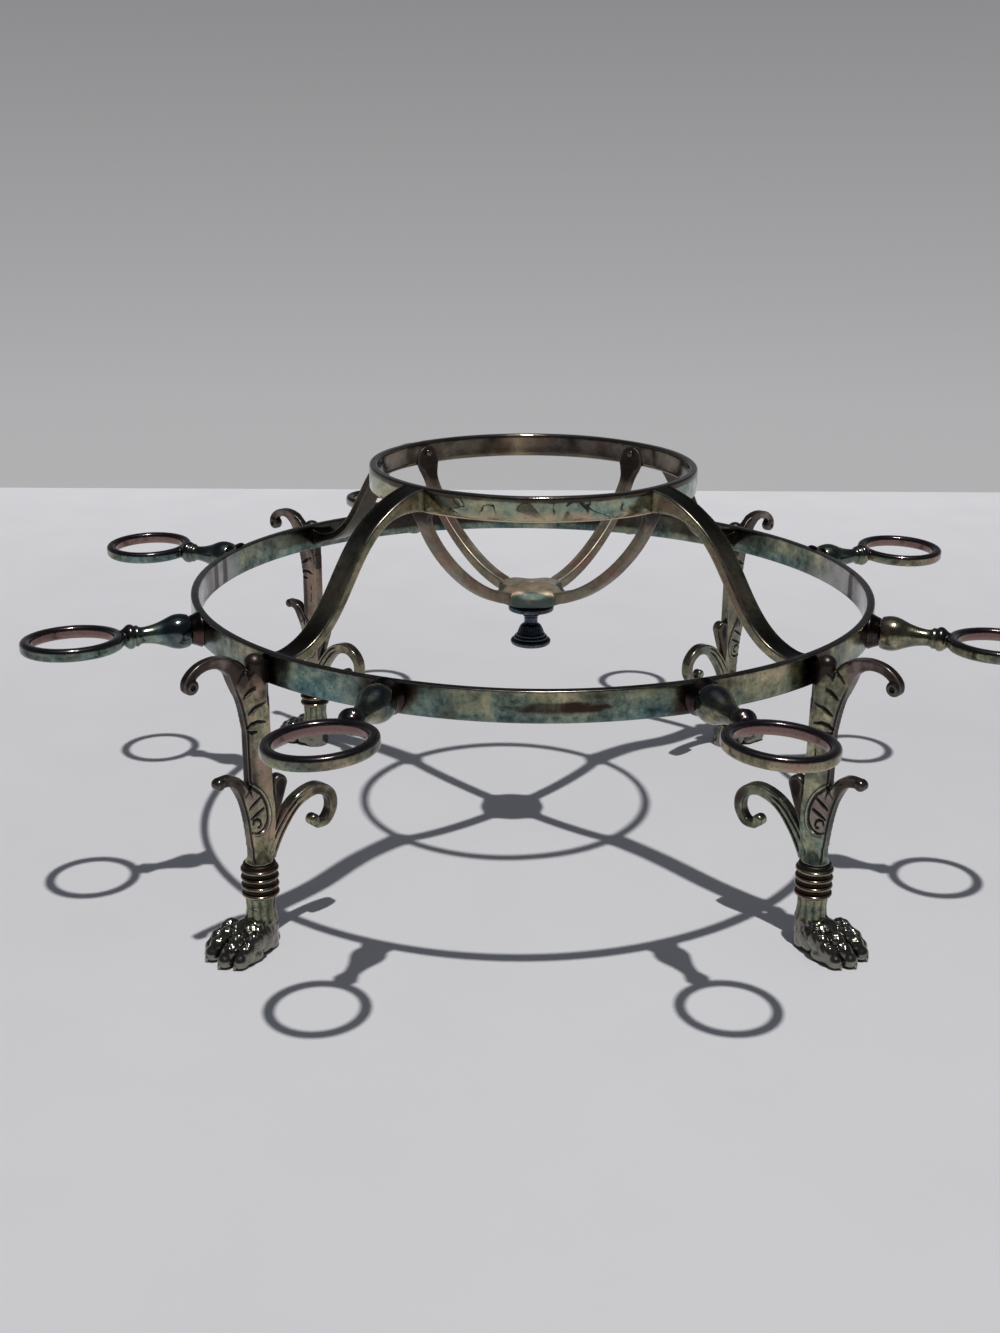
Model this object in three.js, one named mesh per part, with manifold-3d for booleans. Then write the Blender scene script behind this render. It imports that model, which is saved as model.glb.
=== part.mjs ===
// Epergne frame in tarnished silver plate: a four-legged stand with a wide band ring, a raised
// centre ring over a bowl-shaped cradle, and eight screw-in arms that end in rings for small bowls.
// Millimetres, +Z up. The origin is the middle of the footprint, on the floor.
// Each piece is drawn in its own radial plane, X outwards and Y across, and a turned group
// carries it to its place round the frame.

import * as THREE from "three";
import { mergeVertices } from "three/addons/utils/BufferGeometryUtils.js";
import Module from "manifold-3d";

const wasm = await Module();
wasm.setup();

// Fits
const seatGap = 0.3;
const boreClearance = 0.3;

// Pattern round the frame
const supportCount = 4;
const bowlCount = 8;

// Band ring: a flat strip on edge
const bandOuterRadius = 187.5;
const bandWall = 4.3;
const bandHeight = 15.6;
const bandTop = 153.8;
const bandFacets = 80;

// Upper ring, the seat of the centre bowl
const upperOuterRadius = 89.2;
const upperWall = 4.4;
const upperHeight = 13;
const upperTop = 219.6;
const upperFacets = 64;

// Bracket arms from the upper ring down to the band ring
const bracketWidth = 13.6;
const bracketThickness = 5.2;
const bracketShoulder = 57;
const bracketInstep = 54.5;
const bracketHeadShare = 0.2;
const bracketFootHeight = 12;
const bracketFootShare = 0.1;

// Cradle of four ribs under the upper ring, and its hub
const cradleDepth = 70;
const ribWidth = 8;
const ribHeadWidth = 16;
const ribThickness = 4.5;
const ribRootThickness = 6.6;
const ribSlope = new THREE.Vector2(-3.6, -20.5);
const ribFloor = new THREE.Vector2(31, 4.4);
const ribTabThickness = 1.8;
const ribTabHeight = 10.5;
const ribFlareHeight = 9;
const hubSide = 31;
const hubCorner = 9;
const hubPlate = 7;
const hubHeight = 9.8;
const hubBossRadius = 15;
const hubFootRadius = 13.2;

// Finial under the hub: stud, washer and turned knob
const studRadius = 2.2;
const studGrip = 6.5;
const studReach = 17;
const washerRadius = 12.9;
const washerThickness = 3.6;
const washerEdge = 0.9;
const knobNeckRadius = 3.8;
const knobCollarRadius = 5.2;
const knobNeckLength = 8.4;
const knobBellTopRadius = 5.2;
const knobBellRadius = 7.6;
const knobBellLength = 7;
const knobDiscRadius = 11.4;
const knobDiscThickness = 4.6;
const knobTopThickness = 1;
const knobBoreMargin = 1;

// Small bowl rings and their turned arms
const bowlRingDistance = 252;
const bowlRingOuterRadius = 25.5;
const bowlRingWall = 5.4;
const bowlRingHeight = 6.5;
const bowlRingEdge = 1.5;
const socketRadius = 8;
const socketTipRadius = 6.4;
const socketLength = 5.3;
const spigotRadius = 2.5;
const spigotInBand = 2;
const bulbRootRadius = 6.2;
const bulbRadius = 9;
const bulbLength = 10;
const neckRadius = 4.3;
const beadRadius = 7.1;
const beadLength = 6.4;
const beadCollar = 1.6;

// Legs: flat castings with leaf scrolls, standing on edge
const legDepth = 11.8;
const legThickness = 6;
const leafThickness = 5;
const scrollThickness = 4.6;
const legHeadRadius = 5.3;
const legHeadBarrel = 8;
const legHeadTaper = 27;
const legHeadRise = 0.5;
const legShoulderRadius = 7.2;
const legShoulderHeight = 10;
const footOffset = 2;
const tenonRadius = 4;
const crestReach = 31.6;
const crestRoot = 46;
const crestStrap = 4;
const crestBall = 3.5;
const midLeafReach = 17.6;
const midLeafRise = 48.4;
const midLeafStrap = 3;
const midLeafBall = 2.6;
const budReach = 7.4;
const budRise = 38;
const budRadius = 3;
const curlReach = 38.4;
const curlRise = 28.8;
const curlStrap = 3.8;
const curlBall = 3;
const ballExtra = 1.2;

// Reeded collar between leg and paw
const collarRadius = 9.5;
const collarHeight = 17.5;
const reedCount = 4;
const reedDepth = 1.5;
const reedFlat = 0.45;

// Lion paw with its ankle
const ankleTop = 28.5;
const ankleRadius = 7.5;
const ankleWaist = 6.7;
const ankleBase = 14;
const pawLength = 29.5;
const pawHalfWidth = 13;
const pawHeight = 16.6;
const instepReach = 5;
const instepHalfLength = 13;
const knuckleReach = 14;
const knuckleHalfLength = 9;
const heelReach = 3;
const heelHalfLength = 6.5;
const toeCount = 4;
const toeHeight = 9.2;
const toeLength = 15;
const toeSetBack = 4;
const tenonInPaw = 11;

// Pins that hold the joints from inside
const pinRadius = 2;
const legPinDepth = 6;
const footPinDepth = 5.5;
const headPinDepth = 6.5;

// Facets round the turned pieces
const turnedFacets = 10;
const roundFacets = 20;
const ballFacets = 8;

// Levels and radii that follow from the sizes above
const bandBottom = bandTop - bandHeight;
const bandMiddle = bandTop - bandHeight / 2;
const bandInnerRadius = bandOuterRadius - bandWall;
const bandOuterFlat = bandOuterRadius * Math.cos(Math.PI / bandFacets);
const bandInnerFlat = bandInnerRadius * Math.cos(Math.PI / bandFacets);
const upperBottom = upperTop - upperHeight;
const upperMiddle = upperTop - upperHeight / 2;
const upperInnerRadius = upperOuterRadius - upperWall;
const upperInnerFlat = upperInnerRadius * Math.cos(Math.PI / upperFacets);
const hubTop = upperTop - cradleDepth;
const hubBottom = hubTop - hubHeight;
const hubCornerFlat = hubSide / Math.SQRT2 - hubCorner / 2;
const washerTop = hubBottom - seatGap;
const knobTop = washerTop - washerThickness - seatGap;
const socketFace = bandOuterFlat + seatGap + socketLength;
const armRoot = socketFace + seatGap;
const armTip = bowlRingDistance - bowlRingOuterRadius;
const legInner = bandOuterFlat + seatGap;
const legOuter = legInner + legDepth;
const legHeadTop = bandTop + legHeadRise;
const footAxis = legInner + legDepth / 2 + footOffset;
const collarBottom = ankleTop + seatGap;
const collarTop = collarBottom + collarHeight;
const legBottom = collarTop + seatGap;

const point = (x, y) => new THREE.Vector2(x, y);

// Drops shading data, shares vertices, removes collapsed triangles and turns the faces outwards.
function closedMesh(geometry) {
  geometry.deleteAttribute("normal");
  geometry.deleteAttribute("uv");
  const merged = mergeVertices(geometry, 1e-4);
  const position = merged.getAttribute("position");
  const index = merged.getIndex();
  const kept = [];
  const corner = [new THREE.Vector3(), new THREE.Vector3(), new THREE.Vector3()];
  let volume = 0;
  for (let i = 0; i < index.count; i += 3) {
    const triangle = [index.getX(i), index.getX(i + 1), index.getX(i + 2)];
    if (new Set(triangle).size < 3) {
      continue;
    }
    kept.push(triangle);
    corner.forEach((vertex, k) => vertex.fromBufferAttribute(position, triangle[k]));
    volume += corner[0].dot(corner[1].cross(corner[2]));
  }
  if (volume < 0) {
    kept.forEach((triangle) => triangle.reverse());
  }
  return new wasm.Mesh({
    numProp: 3,
    vertProperties: new Float32Array(position.array),
    triVerts: new Uint32Array(kept.flat()),
  });
}

function solid(geometry) {
  return new wasm.Manifold(closedMesh(geometry));
}

function join(pieces) {
  return pieces.reduce((whole, piece) => whole.add(piece));
}

function cut(piece, tools) {
  return tools.reduce((rest, tool) => rest.subtract(tool), piece);
}

// A turned solid on the Z axis from points of (radius, height).
function turned(points, facets, axisDistance = 0) {
  const geometry = new THREE.LatheGeometry(points, facets, Math.PI / facets);
  geometry.rotateX(Math.PI / 2);
  geometry.translate(axisDistance, 0, 0);
  return solid(geometry);
}

// A turned solid along a radial axis from points of (radius, distance from the frame's axis).
function turnedOutwards(points, height, facets = turnedFacets) {
  const geometry = new THREE.LatheGeometry(points, facets, Math.PI / facets);
  geometry.rotateZ(-Math.PI / 2);
  geometry.translate(0, 0, height);
  return solid(geometry);
}

// A rod along a radial axis, for pins and their holes.
function radialRod(radius, from, to, height) {
  const ends = [point(0, from), point(radius, from), point(radius, to), point(0, to)];
  return turnedOutwards(ends, height);
}

// A flat plate whose outline lies in the radial plane.
function plate(outline, thickness) {
  const geometry = new THREE.ExtrudeGeometry(outline, { depth: thickness, bevelEnabled: false });
  geometry.translate(0, 0, -thickness / 2);
  geometry.rotateX(Math.PI / 2);
  return solid(geometry);
}

// A block whose outline is seen from outside the frame, as points of (across, height).
function frontBlock(outline, from, to) {
  const geometry = new THREE.ExtrudeGeometry(outline, { depth: to - from, bevelEnabled: false });
  geometry.rotateX(Math.PI / 2);
  geometry.rotateZ(Math.PI / 2);
  geometry.translate(from, 0, 0);
  return solid(geometry);
}

// The outline of a strap that follows a curve with a thickness that varies along it.
function strapOutline(curve, thicknessAt, steps) {
  const upper = [];
  const lower = [];
  for (let i = 0; i <= steps; i += 1) {
    const share = i / steps;
    const middle = curve.getPoint(share);
    const along = curve.getTangent(share);
    const half = thicknessAt(share) / 2;
    upper.push(point(middle.x - along.y * half, middle.y + along.x * half));
    lower.push(point(middle.x + along.y * half, middle.y - along.x * half));
  }
  return new THREE.Shape([...upper, ...lower.reverse()]);
}

function ellipsoid(centre, radii, facets) {
  const geometry = new THREE.SphereGeometry(1, facets, Math.ceil(facets * 0.6));
  geometry.rotateX(Math.PI / 2);
  geometry.scale(...radii);
  geometry.translate(...centre);
  return solid(geometry);
}

function ringSection(inner, outer, bottom, top) {
  return [
    point(inner, bottom),
    point(outer, bottom),
    point(outer, top),
    point(inner, top),
    point(inner, bottom),
  ];
}

// The room that a ring needs with its seat gap all round, which its neighbours are cut by.
function ringRoom(inner, outer, bottom, top, facets) {
  const section = ringSection(inner - seatGap, outer + seatGap, bottom - seatGap, top + seatGap);
  return turned(section, facets);
}

function atAzimuth(piece, degrees) {
  return piece.rotate([0, 0, degrees]);
}

const supportAzimuths = Array.from({ length: supportCount }, (_, i) => ((i + 0.5) * 360) / supportCount);
const bowlAzimuths = Array.from({ length: bowlCount }, (_, i) => ((i + 0.5) * 360) / bowlCount);

function bandRing() {
  const section = ringSection(bandInnerRadius, bandOuterRadius, bandBottom, bandTop);
  const ring = turned(section, bandFacets);
  const pinHole = radialRod(pinRadius + boreClearance, bandInnerFlat - bandWall, bandOuterRadius + bandWall,
    bandMiddle);
  const spigotHole = radialRod(spigotRadius + boreClearance, bandOuterFlat - spigotInBand - seatGap,
    bandOuterRadius + bandWall, bandMiddle);
  const holes = [
    ...supportAzimuths.map((azimuth) => atAzimuth(pinHole, azimuth)),
    ...bowlAzimuths.map((azimuth) => atAzimuth(spigotHole, azimuth)),
  ];
  return cut(ring, holes);
}

function upperRing() {
  const section = ringSection(upperInnerRadius, upperOuterRadius, upperBottom, upperTop);
  const ring = turned(section, upperFacets);
  const hole = radialRod(pinRadius + boreClearance, upperInnerFlat - upperWall,
    upperOuterRadius + upperWall, upperMiddle);
  return cut(ring, supportAzimuths.map((azimuth) => atAzimuth(hole, azimuth)));
}

// The bracket leaves the upper ring level, sweeps down in an S and meets the band ring level.
function bracketArm() {
  const head = upperOuterRadius - upperWall / 2;
  const foot = bandInnerRadius + bandWall / 2;
  const spine = new THREE.CubicBezierCurve(
    point(head, upperMiddle),
    point(head + bracketShoulder, upperMiddle),
    point(foot - bracketInstep, bandMiddle),
    point(foot, bandMiddle),
  );
  const thicknessAt = (share) => {
    const headSwell = Math.max(0, 1 - share / bracketHeadShare);
    const footSwell = Math.max(0, 1 - (1 - share) / bracketFootShare);
    const headExtra = (upperHeight - bracketThickness) * headSwell ** 1.5;
    const footExtra = (bracketFootHeight - bracketThickness) * footSwell ** 2;
    return bracketThickness + headExtra + footExtra;
  };
  const strap = plate(strapOutline(spine, thicknessAt, 16), bracketWidth);
  const rings = [
    ringRoom(upperInnerRadius, upperOuterRadius, upperBottom, upperTop, upperFacets),
    ringRoom(bandInnerRadius, bandOuterRadius, bandBottom, bandTop, bandFacets),
    radialRod(pinRadius + boreClearance, 0, upperOuterRadius + headPinDepth + seatGap, upperMiddle),
    radialRod(pinRadius + boreClearance, bandInnerFlat - footPinDepth - seatGap, bandOuterRadius, bandMiddle),
  ];
  return cut(strap, rings);
}

// The rib hangs from the lower edge of the upper ring, with a thin tab up the ring's inner face.
function cradleRib() {
  const head = point(upperInnerRadius - ribTabThickness / 2, upperBottom);
  const root = point(hubCornerFlat - seatGap, hubTop - ribRootThickness / 2);
  const spine = new THREE.CubicBezierCurve(
    head,
    head.clone().add(ribSlope),
    root.clone().add(ribFloor),
    root,
  );
  const thicknessAt = (share) => THREE.MathUtils.lerp(ribThickness, ribRootThickness, share);
  const strap = plate(strapOutline(spine, thicknessAt, 12), ribHeadWidth);
  const tabInner = upperInnerRadius - seatGap - ribTabThickness;
  const tabOuter = upperInnerRadius + upperWall / 2;
  const tabLap = ribFlareHeight / 3;
  const tab = plate(new THREE.Shape([
    point(tabInner, upperBottom - tabLap),
    point(upperInnerRadius, upperBottom - tabLap),
    point(tabOuter, upperBottom),
    point(tabOuter, upperBottom + ribTabHeight),
    point(tabInner, upperBottom + ribTabHeight),
  ]), ribHeadWidth);
  const trimmed = join([strap, tab]).intersect(ribFront());
  const ring = ringRoom(upperInnerRadius, upperOuterRadius, upperBottom, upperTop, upperFacets);
  const hole = radialRod(pinRadius + boreClearance, 0, upperOuterRadius, upperMiddle);
  return cut(trimmed, [ring, hole]);
}

// The rib seen from inside the frame: straight sides, a flare below the ring and a rounded tab,
// from the hub's cut corner outwards.
function ribFront() {
  const half = ribWidth / 2;
  const headHalf = ribHeadWidth / 2;
  const tabTop = upperBottom + ribTabHeight;
  const front = new THREE.Shape();
  front.moveTo(-half, hubBottom);
  front.lineTo(half, hubBottom);
  front.lineTo(half, upperBottom - ribFlareHeight);
  front.quadraticCurveTo(half, upperBottom - seatGap, headHalf, upperBottom - seatGap);
  front.lineTo(headHalf, upperBottom + ribTabHeight / 2);
  front.quadraticCurveTo(headHalf, tabTop, 0, tabTop);
  front.quadraticCurveTo(-headHalf, tabTop, -headHalf, upperBottom + ribTabHeight / 2);
  front.lineTo(-headHalf, upperBottom - seatGap);
  front.quadraticCurveTo(-half, upperBottom - seatGap, -half, upperBottom - ribFlareHeight);
  front.closePath();
  const lean = new THREE.Shape(front.getPoints(4));
  return frontBlock(lean, hubCornerFlat + seatGap, upperOuterRadius);
}

// A square plate with its corners cut flat for the ribs, over a round boss with a blind hole.
function cradleHub() {
  const half = hubSide / 2;
  const cutBack = half - hubCorner / Math.SQRT2;
  const corners = [];
  for (let quarter = 0; quarter < 4; quarter += 1) {
    const turn = (quarter * Math.PI) / 2;
    const origin = point(0, 0);
    corners.push(point(half, -cutBack).rotateAround(origin, turn));
    corners.push(point(half, cutBack).rotateAround(origin, turn));
  }
  const outline = new THREE.Shape(corners);
  const geometry = new THREE.ExtrudeGeometry(outline, { depth: hubPlate, bevelEnabled: false });
  geometry.translate(0, 0, hubTop - hubPlate);
  const boss = turned([
    point(0, hubBottom),
    point(hubFootRadius, hubBottom),
    point(hubBossRadius, hubTop - hubPlate),
    point(hubBossRadius, hubTop - hubPlate / 2),
    point(0, hubTop - hubPlate / 2),
  ], roundFacets);
  const holeRadius = studRadius + boreClearance;
  const hole = turned([
    point(0, hubBottom - hubHeight),
    point(holeRadius, hubBottom - hubHeight),
    point(holeRadius, hubBottom + studGrip + seatGap),
    point(0, hubBottom + studGrip + seatGap),
  ], turnedFacets);
  return cut(join([solid(geometry), boss]), [hole]);
}

function finialStud() {
  const bottom = knobTop - studReach;
  const top = hubBottom + studGrip;
  const profile = [point(0, bottom), point(studRadius, bottom), point(studRadius, top), point(0, top)];
  return turned(profile, turnedFacets);
}

function finialWasher() {
  const hole = studRadius + boreClearance;
  const bottom = washerTop - washerThickness;
  const rim = washerRadius - washerEdge;
  return turned([
    point(hole, bottom),
    point(rim, bottom),
    point(washerRadius, bottom + washerEdge),
    point(washerRadius, washerTop - washerEdge),
    point(rim, washerTop),
    point(hole, washerTop),
    point(hole, bottom),
  ], roundFacets);
}

// Neck, bell and disc turned in one, with a blind hole for the stud.
function finialKnob() {
  const neckEnd = knobTop - knobNeckLength;
  const bellEnd = neckEnd - knobBellLength;
  const discBottom = bellEnd - knobDiscThickness;
  const hole = studRadius + boreClearance;
  const holeEnd = knobTop - studReach - knobBoreMargin;
  return turned([
    point(0, discBottom - knobTopThickness),
    point(knobDiscRadius * 0.6, discBottom - knobTopThickness / 2),
    point(knobDiscRadius - knobTopThickness, discBottom),
    point(knobDiscRadius, discBottom + knobTopThickness),
    point(knobDiscRadius, bellEnd - knobTopThickness),
    point(knobDiscRadius - knobTopThickness, bellEnd),
    point(knobBellRadius, bellEnd),
    point(knobBellRadius, bellEnd + knobTopThickness),
    point(knobBellTopRadius, neckEnd),
    point(knobNeckRadius, neckEnd + knobTopThickness),
    point(knobNeckRadius, knobTop - 2 * knobTopThickness),
    point(knobCollarRadius, knobTop),
    point(hole, knobTop),
    point(hole, holeEnd),
    point(0, holeEnd),
  ], roundFacets);
}

// A fixed boss on the band ring that takes the spigot of a bowl arm.
function armSocket() {
  const base = bandOuterFlat + seatGap;
  const hole = spigotRadius + boreClearance;
  return turnedOutwards([
    point(hole, base),
    point(socketRadius, base),
    point(socketRadius, base + socketLength * 0.45),
    point(socketTipRadius, socketFace),
    point(hole, socketFace),
    point(hole, base),
  ], bandMiddle);
}

// Spigot, bulb, waisted neck and bead turned in one with the ring that holds a small bowl.
function bowlArm() {
  const beadStart = armTip - beadLength;
  const neckAt = (armRoot + bulbLength + beadStart) / 2;
  const neckEnd = beadStart - beadCollar;
  const inRing = armTip + bowlRingWall / 2;
  const stem = turnedOutwards([
    point(0, bandOuterFlat - spigotInBand),
    point(spigotRadius, bandOuterFlat - spigotInBand),
    point(spigotRadius, armRoot),
    point(bulbRootRadius, armRoot),
    point(bulbRadius, armRoot + bulbLength * 0.28),
    point(bulbRadius, armRoot + bulbLength * 0.6),
    point(bulbRadius * 0.72, armRoot + bulbLength),
    point(neckRadius, neckAt),
    point(neckRadius, neckEnd),
    point(beadRadius, beadStart + beadCollar),
    point(beadRadius, armTip - beadCollar),
    point(bowlRingHeight / 2, inRing),
    point(0, inRing),
  ], bandMiddle);
  const inner = bowlRingOuterRadius - bowlRingWall;
  const half = bowlRingHeight / 2;
  const ring = turned([
    point(inner, bandMiddle - half),
    point(bowlRingOuterRadius, bandMiddle - half),
    point(bowlRingOuterRadius, bandMiddle + half - bowlRingEdge),
    point(bowlRingOuterRadius - bowlRingEdge, bandMiddle + half),
    point(inner + bowlRingEdge, bandMiddle + half),
    point(inner, bandMiddle + half - bowlRingEdge),
    point(inner, bandMiddle - half),
  ], roundFacets, bowlRingDistance);
  return join([stem, ring]);
}

// One leaf or scroll of a leg: a strap along a spine, with a ball at its tip where it has one.
function scroll(spine, rootStrap, tipStrap, thickness, steps, ball) {
  const curve = new THREE.SplineCurve(spine);
  const thicknessAt = (share) => THREE.MathUtils.lerp(rootStrap, tipStrap, share);
  const strap = plate(strapOutline(curve, thicknessAt, steps), thickness);
  if (!ball) {
    return strap;
  }
  const knob = new THREE.CylinderGeometry(ball.radius, ball.radius, thickness + ballExtra, ballFacets);
  knob.translate(ball.centre.x, 0, ball.centre.y);
  return strap.add(solid(knob));
}

// The leaf at the head of the leg that rolls over outwards, in shares of its reach and of the
// depth of its root below the band ring's top.
function crestScroll() {
  const at = (out, down) => point(legOuter + out * crestReach, bandTop - down * crestRoot);
  const spine = [at(-0.11, 1), at(0, 0.48), at(0.17, 0.15), at(0.46, 0), at(0.79, 0.02), at(1, 0.14)];
  const ball = { centre: at(0.925, 0.18), radius: crestBall };
  return scroll(spine, legDepth * 0.6, crestStrap, leafThickness, 11, ball);
}

// The smaller leaf halfway down that opens outwards, in shares of its reach and rise.
function midLeaf() {
  const at = (out, up) => point(legOuter + out * midLeafReach, collarTop + up * midLeafRise);
  const spine = [at(-0.2, 0.23), at(-0.08, 0.54), at(0.18, 0.8), at(0.55, 0.97), at(0.99, 1)];
  const ball = { centre: at(1.02, 0.985), radius: midLeafBall };
  return scroll(spine, legDepth * 0.55, midLeafStrap, leafThickness, 8, ball);
}

// The petal between the leg and its inner scroll, in shares of its reach and rise.
function bud() {
  const at = (inwards, up) => point(legInner - inwards * budReach, collarTop + up * budRise);
  const spine = [at(-0.27, 0.32), at(0.32, 0.68), at(1, 1)];
  const petal = scroll(spine, budRadius, 2 * budRadius, scrollThickness, 4);
  const tip = new THREE.CylinderGeometry(budRadius, budRadius, scrollThickness, ballFacets);
  const end = spine.at(-1);
  tip.translate(end.x, 0, end.y);
  return petal.add(solid(tip));
}

// The scroll near the foot that curls back towards the middle of the frame, in shares of its
// reach and rise.
function innerCurl() {
  const at = (inwards, up) => point(legInner - inwards * curlReach, collarTop + up * curlRise);
  const spine = [
    at(-0.065, 0.1),
    at(0.117, 0.5),
    at(0.385, 0.87),
    at(0.716, 1),
    at(0.953, 0.833),
    at(1, 0.5625),
    at(0.896, 0.333),
    at(0.745, 0.3125),
  ];
  const ball = { centre: at(0.6875, 0.417), radius: curlBall };
  return scroll(spine, 2 * curlStrap, curlStrap * 0.8, scrollThickness, 16, ball);
}

function leg() {
  const column = plate(new THREE.Shape([
    point(legInner, legBottom),
    point(legOuter, legBottom),
    point(legOuter, bandTop - bandHeight / 2),
    point(legInner + legHeadRadius, bandTop - legHeadRadius),
    point(legInner, bandMiddle),
  ]), legThickness);
  const head = turned([
    point(0, bandBottom - legHeadTaper),
    point(legHeadRadius * 0.55, bandBottom - legHeadTaper * 0.6),
    point(legHeadRadius, bandBottom),
    point(legHeadRadius, bandBottom + legHeadBarrel),
    point(legHeadRadius * 0.72, legHeadTop - legHeadRadius * 0.5),
    point(0, legHeadTop),
  ], turnedFacets, legInner + legHeadRadius);
  const foot = turned([
    point(0, collarBottom - tenonInPaw + seatGap),
    point(tenonRadius, collarBottom - tenonInPaw + seatGap),
    point(tenonRadius, legBottom),
    point(legShoulderRadius, legBottom),
    point(legShoulderRadius * 0.7, legBottom + legShoulderHeight),
    point(0, legBottom + legShoulderHeight),
  ], turnedFacets, footAxis);
  const whole = join([column, head, foot, crestScroll(), midLeaf(), bud(), innerCurl()]);
  const holeEnd = legInner + legPinDepth + seatGap;
  const hole = radialRod(pinRadius + boreClearance, bandInnerRadius, holeEnd, bandMiddle);
  return cut(whole, [hole]);
}

function legCollar() {
  const hole = tenonRadius + boreClearance;
  const pitch = collarHeight / reedCount;
  const points = [point(hole, collarBottom)];
  for (let reed = 0; reed < reedCount; reed += 1) {
    const base = collarBottom + reed * pitch;
    points.push(point(collarRadius - reedDepth, base));
    points.push(point(collarRadius, base + (pitch * (1 - reedFlat)) / 2));
    points.push(point(collarRadius, base + (pitch * (1 + reedFlat)) / 2));
  }
  points.push(point(collarRadius - reedDepth, collarTop));
  points.push(point(hole, collarTop));
  points.push(point(hole, collarBottom));
  return turned(points, turnedFacets, footAxis);
}

// A lion paw that points outwards, cut flat underneath, with a blind hole for the leg's tenon.
function paw() {
  const out = (distance) => footAxis + distance;
  const ankle = turned([
    point(0, pawHeight / 3),
    point(ankleRadius, ankleBase / 2),
    point(ankleWaist, (ankleBase + ankleTop) / 2),
    point(ankleRadius, ankleTop),
    point(0, ankleTop),
  ], turnedFacets, footAxis);
  const instep = ellipsoid(
    [out(instepReach), 0, pawHeight * 0.42],
    [instepHalfLength, pawHalfWidth * 0.82, pawHeight * 0.58],
    turnedFacets,
  );
  const knuckles = ellipsoid(
    [out(knuckleReach), 0, pawHeight * 0.32],
    [knuckleHalfLength, pawHalfWidth * 0.9, pawHeight * 0.46],
    turnedFacets,
  );
  const heel = ellipsoid(
    [out(-heelReach), 0, toeHeight * 0.3],
    [heelHalfLength, pawHalfWidth * 0.62, toeHeight * 0.5],
    ballFacets,
  );
  const toeHalf = pawHalfWidth / toeCount;
  const toes = Array.from({ length: toeCount }, (_, i) => {
    const across = -pawHalfWidth + toeHalf * (2 * i + 1);
    const setBack = (across / pawHalfWidth) ** 2 * toeSetBack;
    const centre = [out(pawLength - toeLength / 2 - setBack), across, toeHeight * 0.42];
    return ellipsoid(centre, [toeLength / 2, toeHalf * 1.12, toeHeight * 0.58], ballFacets);
  });
  const floor = new THREE.BoxGeometry(4 * pawLength, 4 * pawLength, pawHeight);
  floor.translate(footAxis, 0, -pawHeight / 2);
  const holeRadius = tenonRadius + boreClearance;
  const hole = turned([
    point(0, ankleTop - tenonInPaw),
    point(holeRadius, ankleTop - tenonInPaw),
    point(holeRadius, collarTop),
    point(0, collarTop),
  ], turnedFacets, footAxis);
  return cut(join([ankle, instep, knuckles, heel, ...toes]), [solid(floor), hole]);
}

function legPin() {
  return radialRod(pinRadius, bandInnerFlat - footPinDepth, legInner + legPinDepth, bandMiddle);
}

function ringPin() {
  const inner = upperInnerFlat - seatGap - ribTabThickness;
  return radialRod(pinRadius, inner, upperOuterRadius + headPinDepth, upperMiddle);
}

function metal(color, roughness) {
  return new THREE.MeshStandardMaterial({ color, roughness, metalness: 1 });
}

const frame = new THREE.Group();

function addPiece(name, piece, material, azimuth = 0) {
  const mesh = piece.getMesh();
  const geometry = new THREE.BufferGeometry();
  geometry.setAttribute("position", new THREE.BufferAttribute(mesh.vertProperties, 3));
  geometry.setIndex(new THREE.BufferAttribute(mesh.triVerts, 1));
  geometry.computeVertexNormals();
  const node = new THREE.Mesh(geometry, material);
  node.name = name;
  const place = new THREE.Group();
  place.rotation.z = THREE.MathUtils.degToRad(azimuth);
  place.add(node);
  frame.add(place);
}

function addRound(name, piece, makeMaterial, azimuths) {
  azimuths.forEach((azimuth, i) => addPiece(`${name}_${i + 1}`, piece, makeMaterial(), azimuth));
}

addPiece("main_ring", bandRing(), metal(0x6b7a6c, 0.32));
addPiece("upper_ring", upperRing(), metal(0x5f6a5c, 0.3));
addRound("bracket_arm", bracketArm(), () => metal(0x3a3428, 0.28), supportAzimuths);
addRound("cradle_rib", cradleRib(), () => metal(0x7a7062, 0.34), supportAzimuths);
addPiece("cradle_hub", cradleHub(), metal(0x7d7468, 0.36));
addPiece("finial_stud", finialStud(), metal(0x8a8478, 0.4));
addPiece("finial_washer", finialWasher(), metal(0x2a2c33, 0.25));
addPiece("finial_knob", finialKnob(), metal(0x23262e, 0.25));
addRound("arm_socket", armSocket(), () => metal(0x4a4a40, 0.3), bowlAzimuths);
addRound("bowl_arm", bowlArm(), () => metal(0x4a4348, 0.3), bowlAzimuths);
addRound("leg", leg(), () => metal(0x8d8460, 0.38), supportAzimuths);
addRound("leg_collar", legCollar(), () => metal(0x5b4036, 0.3), supportAzimuths);
addRound("paw", paw(), () => metal(0x4a4a36, 0.3), supportAzimuths);
addRound("leg_pin", legPin(), () => metal(0x8a8478, 0.4), supportAzimuths);
addRound("ring_pin", ringPin(), () => metal(0x8a8478, 0.4), supportAzimuths);

export default frame;
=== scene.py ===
"""Looks of the epergne frame: tarnished silver-plated castings on a pale floor.

Lengths are in millimetres until a mesh is made. A local frame has x outwards along the radius,
y across (anticlockwise seen from above) and z up, and is turned about the frame's axis.
"""
import functools
import itertools
import math

import bpy
import numpy as np
from mathutils import Matrix


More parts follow.
